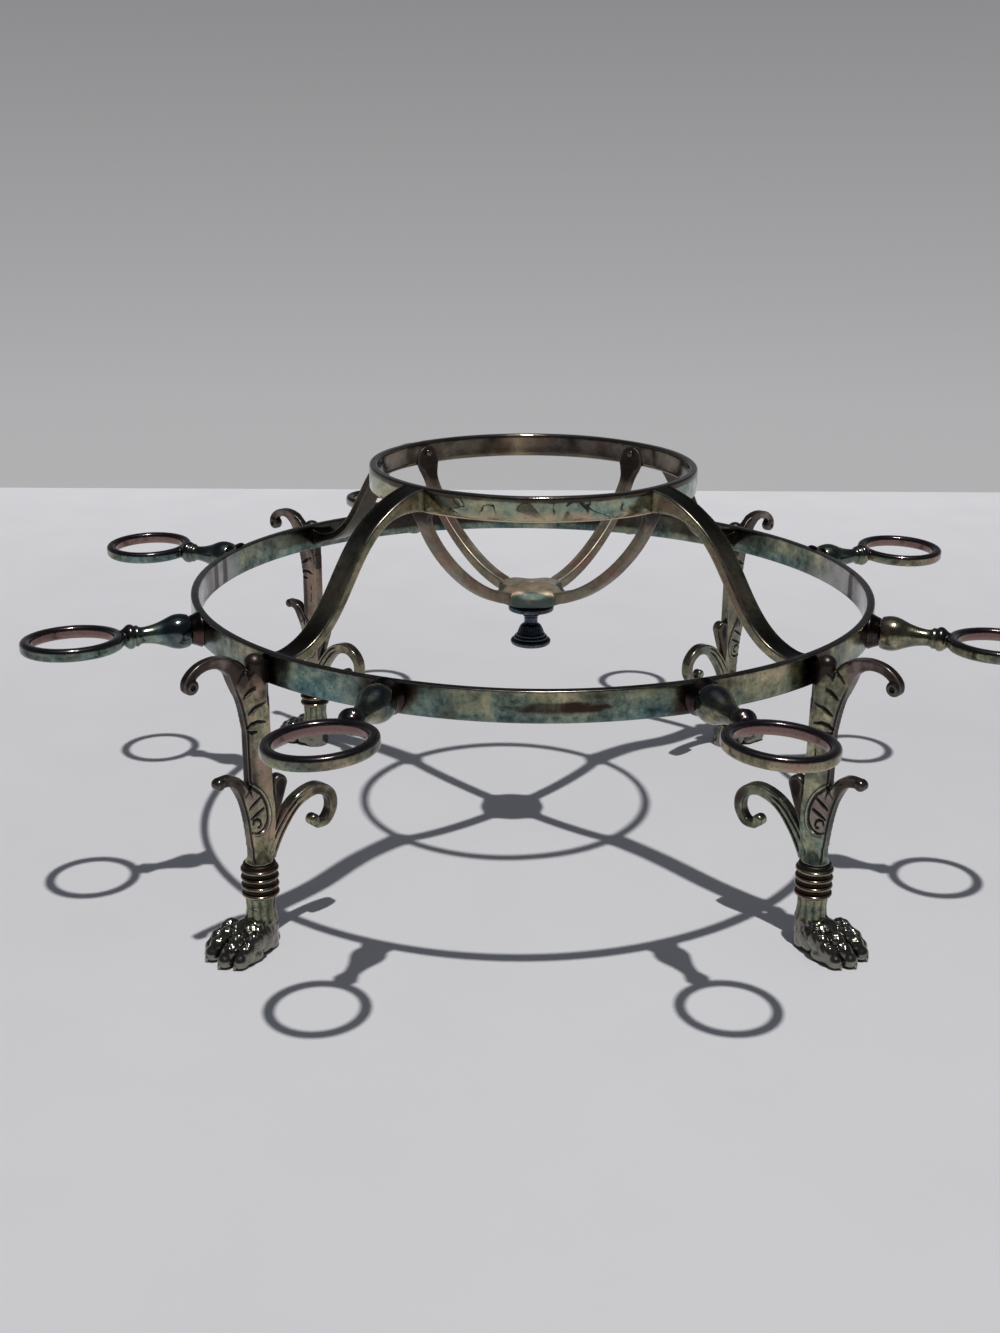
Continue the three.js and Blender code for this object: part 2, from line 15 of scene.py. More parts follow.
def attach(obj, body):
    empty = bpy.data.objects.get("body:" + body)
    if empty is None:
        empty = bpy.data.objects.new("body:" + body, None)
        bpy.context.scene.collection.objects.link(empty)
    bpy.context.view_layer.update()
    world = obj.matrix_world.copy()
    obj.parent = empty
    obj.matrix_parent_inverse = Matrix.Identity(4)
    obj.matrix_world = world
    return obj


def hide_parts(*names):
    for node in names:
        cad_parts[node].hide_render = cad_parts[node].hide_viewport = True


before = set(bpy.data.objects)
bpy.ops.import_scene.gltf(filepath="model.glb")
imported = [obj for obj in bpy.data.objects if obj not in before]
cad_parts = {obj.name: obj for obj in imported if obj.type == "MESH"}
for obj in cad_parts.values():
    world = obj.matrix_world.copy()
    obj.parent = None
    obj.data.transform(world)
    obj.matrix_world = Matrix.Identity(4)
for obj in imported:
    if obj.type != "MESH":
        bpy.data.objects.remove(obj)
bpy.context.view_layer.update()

MM = 0.001
SUPPORT_AZIMUTHS = (45, 135, 225, 315)
BOWL_AZIMUTHS = tuple(22.5 + 45 * step for step in range(8))

# Sizes of the solids that the pieces stand for
BAND_OUTER = 187.5
BAND_WALL = 4.3
BAND_TOP = 153.8
BAND_HEIGHT = 15.6
BAND_MIDDLE = BAND_TOP - BAND_HEIGHT / 2
UPPER_OUTER = 89.2
UPPER_WALL = 4.4
UPPER_TOP = 219.6
UPPER_HEIGHT = 13
UPPER_MIDDLE = UPPER_TOP - UPPER_HEIGHT / 2
BRACKET_WIDTH = 13.6
BRACKET_THICKNESS = 5.2
BRACKET_SHOULDER = 57
BRACKET_INSTEP = 54.5
RIB_WIDTH = 8
RIB_HEAD_WIDTH = 16
HUB_TOP = 149.6
HUB_BOTTOM = 139.8
WASHER_TOP = 139.5
WASHER_RADIUS = 12.9
WASHER_THICKNESS = 3.6
KNOB_TOP = 135.6
STUD_RADIUS = 2.2
STUD_BORE = 2.5
STUD_BORE_TOP = 146.5
SOCKET_BASE = 187.4
SOCKET_FACE = 192.955
RING_DISTANCE = 252
RING_OUTER = 25.5
RING_WALL = 5.4
RING_HEIGHT = 6.5
LEG_INNER = 187.655
LEG_OUTER = 200.7
LEG_HALF = 3.0
LEG_BOTTOM = 46.6
COLLAR_TOP = 46.3
COLLAR_BOTTOM = 28.8
COLLAR_RADIUS = 9.5
TENON_RADIUS = 4.0
TENON_BOTTOM = 18.4
TENON_BORE = 4.3
TENON_BORE_BOTTOM = 17.5
FOOT_AXIS = 195.555
ANKLE_TOP = 28.5


# Small mesh kit: a shape is (points, quads, caps)

def grid_quads(rows, columns, close_rows):
    """Quads between rows of points, each row a closed ring of the same number of columns."""
    a, b = np.meshgrid(np.arange(rows if close_rows else rows - 1), np.arange(columns), indexing="ij")
    up, side = (a + 1) % rows, (b + 1) % columns
    quads = np.stack([a * columns + b, a * columns + side, up * columns + side, up * columns + b], axis=-1)
    return quads.reshape(-1, 4)


def outward(shape):
    """The same shape with its faces turned so that it encloses a positive volume."""
    points, quads, caps = shape
    a, b, c, d = (points[quads[:, k]] for k in range(4))
    volume = np.einsum("ij,ij->", np.cross(a, b), c) + np.einsum("ij,ij->", np.cross(a, c), d)
    for cap in caps:
        ring = points[list(cap)]
        volume += sum(float(np.dot(np.cross(ring[0], p), q)) for p, q in zip(ring[1:-1], ring[2:]))
    if volume > 0:
        return shape
    return points, quads[:, ::-1], [tuple(reversed(cap)) for cap in caps]


def sections(rows, closed=False):
    """A tube through rows of points, capped at both ends unless it closes on itself."""
    count = len(rows[0])
    points = np.concatenate(rows)
    caps = []
    if not closed:
        caps = [tuple(range(count)), tuple(reversed(range(len(points) - count, len(points))))]
    return outward((points, grid_quads(len(rows), count, closed), caps))


def rounded_outline(half_u, half_v, radius, edge=8):
    """Anticlockwise outline of a rectangle with rounded corners, with extra points along its sides."""
    middles = np.array([(1, 1), (-1, 1), (-1, -1), (1, -1)]) * (half_u - radius, half_v - radius)
    angles = (np.arange(4)[:, None] + np.linspace(0, 1, 5)) * math.pi / 2
    arcs = middles[:, None] + radius * np.stack([np.cos(angles), np.sin(angles)], axis=-1)
    gaps = np.roll(arcs[:, :1], -1, axis=0) - arcs[:, -1:]
    sides = arcs[:, -1:] + gaps * (np.arange(1, edge)[:, None] / edge)
    return np.concatenate([arcs, sides], axis=1).reshape(-1, 2)


def soften(profile, radius):
    """A profile line with its corners rounded off."""
    points = [np.array(p, float) for p in profile]
    result = [points[0]]
    for before, here, after in zip(points, points[1:], points[2:]):
        sides = [before - here, after - here]
        lengths = [np.linalg.norm(side) for side in sides]
        reach = min(radius, lengths[0] * 0.45, lengths[1] * 0.45)
        start, end = (here + side / length * reach for side, length in zip(sides, lengths))
        result += [(1 - t) ** 2 * start + 2 * t * (1 - t) * here + t * t * end for t in np.linspace(0, 1, 5)]
    return np.array(result + [points[-1]])


def subdivide(profile, pitch):
    """A profile line with points no further apart than the pitch."""
    result = [profile[0]]
    for a, b in zip(profile, profile[1:]):
        count = max(1, int(math.ceil(np.linalg.norm(b - a) / pitch)))
        result.extend(a + (b - a) * step / count for step in range(1, count + 1))
    return np.array(result)


def lathe(profile, segments, reeds=lambda angles, height: 1.0):
    """A profile of (radius, height) turned about z; reeds(angles, height) scales the radius."""
    angles = np.arange(segments) * 2 * math.pi / segments
    rows = []
    for radius, height in profile:
        radii = radius * reeds(angles, height)
        rows.append(np.stack([radii * np.cos(angles), radii * np.sin(angles), np.full(segments, height)], axis=1))
    return sections(rows)


def as_tube(profile, segments):
    """A turned shape whose profile closes on itself round a bore."""
    return outward((lathe(profile, segments)[0], grid_quads(len(profile), segments, True), []))


def lay_outwards(shape, height):
    """A shape turned about z laid along x at a height above the floor."""
    x, y, z = shape[0].T
    return outward((np.stack([z, x, height + y], axis=1), shape[1], shape[2]))


def at_azimuth(points, degrees):
    angle = math.radians(degrees)
    x, y, z = points.T
    return np.stack([math.cos(angle) * x - math.sin(angle) * y,
                     math.sin(angle) * x + math.cos(angle) * y, z], axis=1)


def ripple(angle, seed, amplitude):
    """Low waves round a ring, the same each run."""
    random = np.random.default_rng(seed)
    lowest = 3
    waves = [random.normal() / order * np.sin(order * angle + random.uniform(0, 2 * math.pi))
             for order in range(lowest, 4 * lowest)]
    return amplitude * sum(waves) * lowest


# Shares from 0 to 1

def unit(value):
    return np.clip(value, 0, 1)


def rising(value, start, length):
    """0 up to the start, then rising to 1 over the length."""
    return unit((value - start) / length)


def falling(value, end, length):
    """1 down to 0 over the length before the end."""
    return unit((end - value) / length)


def most(*values):
    return functools.reduce(np.maximum, values)


# Distance fields and their surfaces

def smooth_min(a, b, reach):
    h = unit(0.5 + 0.5 * (b - a) / reach)
    return b + (a - b) * h - reach * h * (1 - h)


def smooth_max(a, b, reach):
    return -smooth_min(-a, -b, reach)


def chain(place, line):
    """Signed distance to a chain of tapered rods; a row of line holds a point and the radius there."""
    best = np.inf
    for start, end in zip(line, line[1:]):
        step = [e - s for s, e in zip(start[:-1], end[:-1])]
        away = [p - s for p, s in zip(place, start)]
        share = unit(sum(a * d for a, d in zip(away, step)) / (sum(d * d for d in step) + 1e-9))
        distance = np.sqrt(sum((a - share * d) ** 2 for a, d in zip(away, step)))
        best = np.minimum(best, distance - (start[-1] + (end[-1] - start[-1]) * share))
    return best


def disc(x, z, spot):
    return np.hypot(x - spot[0], z - spot[1]) - spot[2]


def polygon(x, z, corners):
    """Signed distance to a closed polygon, negative inside."""
    loop = [*corners, corners[0]]
    inside = False
    for (x0, z0), (x1, z1) in zip(loop, loop[1:]):
        level = (z0 > z) != (z1 > z)
        inside = inside ^ (level & (x < x0 + (z - z0) * (x1 - x0) / ((z1 - z0) or 1e-9)))
    return np.where(inside, -1.0, 1.0) * chain((x, z), [(*corner, 0.0) for corner in loop])


def extruded(flat, across, half, rounding):
    """A flat distance given a thickness, with rounded edges."""
    u = flat + rounding
    v = np.abs(across) - (half - rounding)
    return np.minimum(np.maximum(u, v), 0) + np.hypot(np.maximum(u, 0), np.maximum(v, 0)) - rounding


def ball(x, y, z, centre, radii):
    """Rough signed distance to an ellipsoid."""
    a, b, c = ((axis - middle) / radius for axis, middle, radius in zip((x, y, z), centre, radii))
    size = np.sqrt(a * a + b * b + c * c)
    steepness = np.sqrt((a / radii[0]) ** 2 + (b / radii[1]) ** 2 + (c / radii[2]) ** 2) + 1e-6
    return size * (size - 1) / steepness


def curve_through(points, count):
    """Uniform Catmull-Rom curve with its ends repeated, as in the part's source."""
    points = np.array(points, float)
    last = len(points) - 1
    place = last * np.arange(count + 1) / count
    i = np.minimum(place.astype(int), last - 1)
    t = (place - i)[:, None]
    before, a, b, after = (points[np.clip(i + k, 0, last)] for k in (-1, 0, 1, 2))
    v0, v1 = (b - before) / 2, (after - a) / 2
    return (2 * a - 2 * b + v0 + v1) * t ** 3 + (-3 * a + 3 * b - 2 * v0 - v1) * t * t + v0 * t + a


def surface(field, low, high, pitch):
    """Quads over the zero level of a field, by surface nets, then drawn onto the level."""
    axes = [np.arange(a, b + pitch, pitch) for a, b in zip(low, high)]
    value = field(*np.meshgrid(*axes, indexing="ij", sparse=True))
    value = np.broadcast_to(value, [len(axis) for axis in axes]).astype(np.float32)
    inside = value < 0
    corners = list(itertools.product((0, 1), repeat=3))

    def at_corner(grid, shift):
        return grid[tuple(slice(s, size - 1 + s) for s, size in zip(shift, grid.shape))]

    count = sum(at_corner(inside, shift).astype(np.int8) for shift in corners)
    active = (count > 0) & (count < 8)
    cells = np.argwhere(active)
    number = np.full(active.shape, -1, np.int64)
    number[active] = np.arange(len(cells))
    units = np.eye(3, dtype=int)
    total = np.zeros((len(cells), 3))
    crossings = np.zeros(len(cells))
    for axis, start in itertools.product(range(3), corners):
        if start[axis]:
            continue
        a, b = (at_corner(value, shift)[active] for shift in (start, start + units[axis]))
        crossed = (a < 0) != (b < 0)
        share = np.where(crossed, a / np.where(crossed, a - b, 1), 0)
        total += (np.array(start, float) + units[axis] * share[:, None]) * crossed[:, None]
        crossings += crossed
    points = (cells + total / crossings[:, None]) * pitch + np.array(low, float)
    quads = []
    for axis in range(3):
        j, k = (axis + 1) % 3, (axis + 2) % 3
        a, b = (np.take(inside, range(first, inside.shape[axis] - 1 + first), axis) for first in (0, 1))
        edge = np.argwhere(a != b)
        edge = edge[np.all([(edge[:, n] > 0) & (edge[:, n] < inside.shape[n] - 1) for n in (j, k)], axis=0)]
        ring = np.stack([number[tuple((edge + dj * units[j] + dk * units[k]).T)]
                         for dj, dk in ((-1, -1), (0, -1), (0, 0), (-1, 0))], axis=1)
        quads.append(np.where(a[tuple(edge.T)][:, None], ring, ring[:, ::-1]))
    for _ in range(2):
        points = drawn_onto(field, points, pitch / 2)
    return outward((points, np.concatenate(quads), []))


def drawn_onto(field, points, limit, step=0.05):
    """The points moved along the field's slope to its zero level, by the limit at most."""
    sides = [[field(*(points + shift).T) for shift in (axis, -axis)] for axis in np.eye(3) * step]
    gradient = np.stack([after - before for after, before in sides], axis=1) / (2 * step)
    move = gradient * (field(*points.T) / np.maximum((gradient ** 2).sum(axis=1), 0.05))[:, None]
    length = np.linalg.norm(move, axis=1)
    return points - move * np.minimum(1, limit / np.maximum(length, 1e-9))[:, None]


def bend_of(shape):
    """How far the surface round each point is hollow (positive) or crested (negative), per mm."""
    points, quads, _ = shape
    pairs = np.concatenate([quads[:, [k, (k + 1) % 4]] for k in range(4)])
    a, b, c, d = (points[quads[:, k]] for k in range(4))
    face = np.cross(c - a, d - b)
    normal = np.zeros_like(points)
    for k, axis in itertools.product(range(4), range(3)):
        normal[:, axis] += np.bincount(quads[:, k], face[:, axis], len(points))
    normal /= np.maximum(np.linalg.norm(normal, axis=1), 1e-9)[:, None]
    here, there = pairs.T
    link = points[there] - points[here]
    squared = np.maximum((link ** 2).sum(axis=1), 0.01)
    count = np.maximum(np.bincount(here, minlength=len(points)), 1)
    bend = np.bincount(here, (link * normal[here]).sum(axis=1) / squared, len(points)) / count
    for _ in range(2):
        bend = (bend + np.bincount(here, bend[there], len(points)) / count) / 2
    return bend


def add_object(name, data):
    added = bpy.data.objects.new(name, data)
    bpy.context.scene.collection.objects.link(added)
    return added


def add_piece(name, shape, body, nodes, material, azimuth=0, bend=None, paint=None):
    """Makes a mesh object of a shape, with its hollows and crests kept as attributes.

    paint(x, y, z) gives shares for the marks of each place: black in cuts and painted shade in hollows, stains and
    painted shade, copper tints and painted pale reflection, where the painted dark reflection of upper faces is left
    off, and within."""
    points, quads, caps = shape
    points = at_azimuth(points, azimuth) * MM
    mesh = bpy.data.meshes.new(name)
    mesh.from_pydata(points, [], [*quads.tolist(), *caps])
    mesh.polygons.foreach_set("use_smooth", [True] * len(quads) + [False] * len(caps))
    mesh.validate()
    bend = bend_of(shape) if bend is None else bend
    normals = np.empty(len(points) * 3, np.float32)
    mesh.vertex_normals.foreach_get("vector", normals)
    flat = points[:, :2] / np.maximum(np.linalg.norm(points[:, :2], axis=1), 1e-6)[:, None]
    inward = -(normals.reshape(-1, 3)[:, :2] * flat).sum(axis=1)
    marks = dict.fromkeys(("ink_and_shade", "stain_and_shade", "blush_and_sheen", "no_top_reflection"), np.zeros(len(points)))
    marks["within"] = 1.0
    if paint:
        marks.update(paint(*shape[0].T))
    # Black in hollows, cuts and grooves: tarnish, with painted shade in the hollows
    marks["hollow"] = most(unit(bend / 0.3), marks.pop("ink_and_shade"))
    marks["crest"] = unit(-bend / 0.45 - 0.15)
    marks["inward"] = unit(inward) * marks.pop("within")
    for key, values in marks.items():
        mesh.attributes.new(key, "FLOAT", "POINT").data.foreach_set("value", values.astype(np.float32))
    piece = add_object(name, mesh)
    mesh.materials.append(material)
    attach(piece, body)
    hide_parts(*nodes)


def add_round(name, shape, material, azimuths=SUPPORT_AZIMUTHS, paint=None, flat=False):
    """The same shape at several azimuths of the stand, each in place of the node of its number."""
    bend = np.zeros(len(shape[0])) if flat else bend_of(shape)
    for number, azimuth in enumerate(azimuths, 1):
        add_piece(f"{name}_{number}_casting", shape, "stand", [f"{name}_{number}"], material,
                  azimuth, bend, paint)


# Materials

SILVER = (0.52, 0.50, 0.46)
PEWTER = (0.24, 0.235, 0.22)
STRAW = (0.36, 0.31, 0.21)
COPPER = (0.30, 0.17, 0.13)
PLUM = (0.11, 0.068, 0.075)
BLUE = (0.055, 0.095, 0.15)
TEAL = (0.085, 0.175, 0.19)
DEEP_TEAL = (0.045, 0.085, 0.095)
SAGE = (0.19, 0.24, 0.19)
OLIVE = (0.24, 0.235, 0.15)
BROWN = (0.060, 0.046, 0.038)
BLACK = (0.014, 0.012, 0.011)


class Wiring:
    """The nodes of a material or world under construction."""

    def __init__(self, owner, space="Object"):
        owner.use_nodes = True
        self.owner = owner
        self.tree = owner.node_tree
        self.tree.nodes.clear()
        self.place = self.add_node("ShaderNodeTexCoord").outputs[space]

    def add_node(self, kind, inputs=None, **settings):
        """A new node; each of its inputs is given a value or the output of another node."""
        node = self.tree.nodes.new(kind)
        for key, value in settings.items():
            setattr(node, key, value)
        for key, value in (inputs or {}).items():
            socket = node.inputs[key]
            if isinstance(value, bpy.types.NodeSocket):
                self.tree.links.new(value, socket)
            else:
                socket.default_value = (*value, 1) if socket.type == "RGBA" else value
        return node

    def made(self, kind, inputs, output=0, **settings):
        """One output of a new node."""
        return self.add_node(kind, inputs, **settings).outputs[output]

    def noise(self, scale, detail=4, roughness=0.55, distortion=0.0, **mapping):
        """Noise over the piece, with a Location or Scale of its own where one is given."""
        place = self.made("ShaderNodeMapping", {"Vector": self.place, **mapping}) if mapping else self.place
        return self.made("ShaderNodeTexNoise", {"Vector": place, "Scale": scale, "Detail": detail,
                                                "Roughness": roughness, "Distortion": distortion})

    def ramp(self, value, stops):
        node = self.add_node("ShaderNodeValToRGB", {0: value})
        elements = node.color_ramp.elements
        for position, _ in stops[2:]:
            elements.new(position)
        for element, (position, colour) in zip(elements, sorted(stops)):
            element.position = position
            element.color = (*colour, 1)
        return node.outputs[0]

    def span(self, value, low, high, to_low=0.0, to_high=1.0, smooth=False):
        """The value taken from one range to another."""
        return self.made("ShaderNodeMapRange", {
            "Value": value, "From Min": low, "From Max": high, "To Min": to_low, "To Max": to_high,
        }, interpolation_type="SMOOTHSTEP" if smooth else "LINEAR")

    def maths(self, operation, a, b=0.0):
        return self.made("ShaderNodeMath", {0: a, 1: b}, operation=operation)

    def add(self, a, b):
        return self.maths("ADD", a, b)

    def times(self, a, b):
        return self.maths("MULTIPLY", a, b)

    def off(self, value, middle):
        """How far the value is from the middle."""
        return self.maths("ABSOLUTE", self.maths("SUBTRACT", value, middle))

    def blend(self, share, a, b, mode="MIX"):
        return self.made("ShaderNodeMix", {"Factor": share, "A": a, "B": b}, "Result",
                         data_type="RGBA", blend_type=mode)

    def laid_over(self, colour, share, low, high, strength, over):
        """The colour under another one, which grows to its strength as the share goes from low to high."""
        return self.blend(self.span(share, low, high, 0, strength, smooth=True), colour, over)

    def shaded(self, colour, factor):
        """The colour times a factor that varies over the surface."""
        return self.made("ShaderNodeVectorMath", {0: colour, "Scale": factor}, operation="SCALE")

    def part(self, vector, axis):
        return self.made("ShaderNodeSeparateXYZ", {0: vector}, axis)

    def attribute(self, name):
        return self.made("ShaderNodeAttribute", {}, "Fac", attribute_name=name)

    def finish(self, colour, roughness, bump, metallic=1.0, bump_height=0.0002, bump_strength=0.5):
        normal = self.made("ShaderNodeBump", {"Distance": bump_height, "Strength": bump_strength, "Height": bump})
        shader = self.made("ShaderNodeBsdfPrincipled", {
            "Metallic": metallic, "Base Color": colour, "Roughness": roughness, "Normal": normal})
        self.add_node("ShaderNodeOutputMaterial", {0: shader})
        return self.owner


# The colours that a tarnish film passes through as it thickens
FILM = (
    (0.00, SILVER), (0.09, STRAW), (0.17, COPPER), (0.25, PLUM), (0.33, BLUE), (0.42, TEAL),
    (0.52, SAGE), (0.61, OLIVE), (0.69, (0.33, 0.29, 0.19)), (0.77, (0.28, 0.17, 0.135)),
    (0.85, (0.12, 0.08, 0.085)), (0.93, DEEP_TEAL), (1.00, (0.09, 0.14, 0.13)),
)


def patina(name, film, scale=14, wander=0.03, mottle=0.3, drift=None, level=0.0, far=0.0, dark=0.35, deep=BROWN,
           pale=0.35, loops=0.0, tops=0.0, top_range=(0.45, 0.85), inside=0.0, hollows=0.85, crests=0.35,
           gloss=(0.14, 0.32), grain=0.5, gain=1.0, metallic=1.0, stain_and_shade=PLUM, blush_and_sheen=COPPER, sharp=0.0, dents=1.2,
           hammer=0.0):
    """Tarnished silver, with painted dark reflection on upper faces and painted shade in hollows. film is the (thin,
    thick) share of the film's colours that the piece shows.
    """
    w = Wiring(bpy.data.materials.new(name))
    # The film, whose thickness wanders in broad, middle and fine patches
    broad = w.noise(scale, 3, 0.5, 0.9)
    middle = w.noise(scale * 3.4, 5, 0.62, 0.5, Location=(3.1, 1.7, 5.3))
    fine = w.noise(scale * 13, 6, 0.7, Location=(6.1, 0.7, 2.3))
    thickness = w.span(broad, 0.32, 0.68, *film)
    thickness = w.add(thickness, w.span(middle, 0.36, 0.64, -wander, wander))
    thickness = w.add(thickness, w.span(fine, 0.36, 0.64, -0.7 * wander, 0.7 * wander))
    if drift:
        along = w.made("ShaderNodeVectorMath", {0: w.place, 1: drift}, "Value", operation="DOT_PRODUCT")
        thickness = w.maths("SUBTRACT", w.add(thickness, along), level)
    colour = w.shaded(w.ramp(thickness, FILM), w.add(w.span(middle, 0.36, 0.64, 1 - mottle, 1 + mottle),
                                                     w.span(fine, 0.36, 0.64, -0.8 * mottle, 0.8 * mottle)))
    # Dark clouds, rubbed places, stains with an edge and curled lines
    cloud = w.noise(scale * 2.2, 5, 0.6, Location=(7.7, 2.2, 0.4))
    colour = w.laid_over(colour, cloud, 0.5, 0.72, dark, deep)
    colour = w.laid_over(colour, w.noise(scale * 3.1, 4, 0.6, Location=(1.2, 9.1, 4.4)), 0.52, 0.75, pale, PEWTER)
    if sharp:
        edged = w.noise(scale * 0.8, 3, 0.45, 1.2, Location=(0.9, 4.4, 8.2))
        rim = w.span(w.off(edged, 0.604), 0.0, 0.012, sharp, 0, smooth=True)
        body = w.times(w.span(edged, 0.60, 0.612, 0, sharp), 0.8)
        colour = w.blend(w.maths("MAXIMUM", body, rim), colour, (0.045, 0.036, 0.022))
    if loops:
        curls = w.noise(scale * 1.7, 2, 0.4, 1.6, Location=(5.0, 0.6, 2.6))
        line = w.span(w.off(curls, 0.53), 0.008, 0.030, 1, 0, smooth=True)
        where = w.span(w.noise(scale * 0.9, 2, Location=(2.4, 8.8, 1.1)), 0.5, 0.54, 0, loops)
        colour = w.blend(w.times(line, where), colour, BLACK)
    if far:
        colour = w.blend(w.span(w.part(w.place, 1), 0.01, 0.05, 0, far), colour, deep)
    # Marks of the places, with ragged edges
    blot = w.span(cloud, 0.3, 0.7, -0.35, 0.35)
    # These marks hold real stains and copper tints, and in places painted shade and a painted pale reflection.
    for mark, over in (("blush_and_sheen", blush_and_sheen), ("stain_and_shade", stain_and_shade)):
        share = w.attribute(mark)
        ragged = w.add(share, w.times(blot, w.span(share, 0.0, 0.3)))
        colour = w.laid_over(colour, ragged, 0.15, 0.75, 0.97, over)
    # Upper faces painted dark as a painted reflection of the dark surroundings, less where a piece leaves it off,
    # and dark inner faces
    if tops:
        up = w.part(w.made("ShaderNodeNewGeometry", {}, "Normal"), 2)
        top_reflection_kept = w.maths("SUBTRACT", 1.0, w.attribute("no_top_reflection"))
        colour = w.blend(w.times(w.span(up, *top_range, 0, tops, smooth=True), top_reflection_kept), colour, deep)
    if inside:
        patchy = w.span(w.noise(scale * 0.7, 5, 0.6, Location=(9.3, 3.3, 7.1)), 0.40, 0.56, 1, 0.72)
        facing = w.span(w.attribute("inward"), 0.3, 0.8, 0, inside, smooth=True)
        colour = w.blend(w.times(facing, patchy), colour, deep)
    # Specks, black hollows (tarnish with painted shade) and bright crests
    colour = w.blend(w.span(w.noise(700, 3, 0.7), 0.58, 0.68, 0, 0.6 * grain), colour, BLACK)
    hollow = w.attribute("hollow")
    colour = w.blend(w.times(hollow, hollows), colour, BLACK)
    colour = w.blend(w.times(w.attribute("crest"), crests), colour, SILVER)
    if gain != 1.0:
        colour = w.blend(1.0, colour, (gain, gain, gain), "MULTIPLY")
    # Gloss, scratches, pits and dents
    rough = w.span(w.noise(scale * 7, 5, 0.6, Location=(0.3, 4.1, 6.6)), 0.32, 0.7, *gloss)
    rough = w.add(rough, w.times(hollow, 0.35))
    scratches = w.times(w.noise(260, 5, 0.75, Scale=(1, 1, 7)), 0.35 * grain)
    bump = w.add(scratches, w.times(w.noise(1500, 3, 0.6), 0.25 * grain))
    bump = w.add(bump, w.times(w.noise(90, 2, 0.5), dents))
    if hammer:
        bump = w.add(bump, w.times(w.times(w.noise(260, 2, 0.5), w.attribute("blush_and_sheen")), hammer))
    return w.finish(colour, rough, bump, metallic)


def floor_material():
    w = Wiring(bpy.data.materials.new("pale_floor"))
    colour = w.ramp(w.noise(1.3, 5), ((0.3, (0.72, 0.72, 0.745)), (0.7, (0.765, 0.765, 0.79))))
    # Painted light: the floor is made lighter towards the back, behind the object.
    colour = w.shaded(colour, w.span(w.part(w.place, 1), 0.2, 0.95, 1.0, 1.17))
    rough = w.span(w.noise(14), 0.3, 0.7, 0.52, 0.68)
    return w.finish(colour, rough, w.noise(320, 3), 0.0, bump_height=0.0004, bump_strength=0.15)


band_metal = patina(
    "band_patina", (0.475, 0.625), scale=17, wander=0.05, mottle=0.42, drift=(0.1, 0, 7), level=7 * BAND_MIDDLE * MM,
    grain=0.8, dark=0.7, tops=0.96, inside=0.96, loops=0.2, sharp=0.25, gloss=(0.12, 0.26),
    deep=(0.028, 0.021, 0.018), stain_and_shade=(0.035, 0.020, 0.016), blush_and_sheen=(0.34, 0.32, 0.33))
upper_metal = patina(
    "upper_ring_patina", (0.45, 0.65), scale=26, wander=0.05, mottle=0.25, dark=0.12, tops=0.9, inside=0.95,
    loops=0.95, gain=1.35, sharp=0.95, gloss=(0.09, 0.2),
    deep=(0.056, 0.040, 0.035), stain_and_shade=(0.046, 0.034, 0.024), blush_and_sheen=(0.40, 0.31, 0.20))
bracket_metal = patina(
    "bracket_patina", (0.60, 0.74), scale=24, wander=0.04, far=0.85, dark=0.4, pale=0.9, tops=0.96,
    inside=0.3, loops=0.1, gloss=(0.2, 0.36), gain=0.9, deep=(0.028, 0.020, 0.015))
rib_metal = patina(
    "rib_patina", (0.06, 0.17), scale=30, pale=0.8, loops=0.1, hollows=0.3,
    gloss=(0.34, 0.5), gain=0.75, metallic=0.75, stain_and_shade=(0.050, 0.036, 0.030))
hub_metal = patina(
    "hub_patina", (0.04, 0.13), scale=40, dark=0.3, pale=0.7, loops=0.2, hollows=0.5,
    gloss=(0.5, 0.65), gain=1.05, metallic=0.7, dents=2.0, stain_and_shade=(0.075, 0.105, 0.09))
finial_metal = patina(
    "finial_patina", (0.27, 0.36), scale=50, wander=0.07, mottle=0.35, dark=0.9, tops=0.8,
    gloss=(0.08, 0.2), gain=0.7, deep=BLACK)
arm_metal = patina(
    "arm_patina", (0.47, 0.70), scale=22, wander=0.05, mottle=0.4, drift=(0.3, 0, 0), dark=0.6, pale=0.5, tops=0.93,
    top_range=(-0.15, 0.45), gloss=(0.11, 0.22), grain=1.0,
    deep=(0.072, 0.056, 0.062), blush_and_sheen=(0.25, 0.155, 0.14), stain_and_shade=(0.078, 0.098, 0.108))
socket_metal = patina(
    "socket_patina", (0.20, 0.27), scale=40, wander=0.07, mottle=0.35, dark=0.9, tops=0.9,
    top_range=(-0.1, 0.5), gloss=(0.2, 0.3), gain=0.42, deep=(0.040, 0.030, 0.025))
leg_metal = patina(
    "leg_patina", (0.58, 0.68), scale=24, wander=0.035, mottle=0.38, drift=(-0.38, 0, 0.6), level=0.05, far=0.3,
    dark=0.4, tops=0.5, hollows=0.97, gloss=(0.12, 0.28), gain=1.2, metallic=0.85, hammer=0.7,
    deep=(0.045, 0.031, 0.028), stain_and_shade=(0.042, 0.029, 0.025), blush_and_sheen=(0.25, 0.195, 0.175))
collar_metal = patina(
    "collar_patina", (0.02, 0.17), scale=40, hollows=0.93, crests=0.0,
    gloss=(0.10, 0.2), gain=0.9, dents=0.5, deep=(0.07, 0.045, 0.04))
paw_metal = patina(
    "paw_patina", (0.55, 0.61), scale=50, wander=0.04, dark=0.5, pale=0.6, hollows=1.0,
    gloss=(0.12, 0.24), grain=1.0, dents=0.8, hammer=0.5, gain=0.95,
    deep=(0.03, 0.027, 0.023), blush_and_sheen=(0.24, 0.23, 0.20))
pin_metal = patina(
    "pin_patina", (0.0, 0.10), scale=60, mottle=0.2, dark=0.3, gloss=(0.2, 0.35), gain=0.4)


# Rings

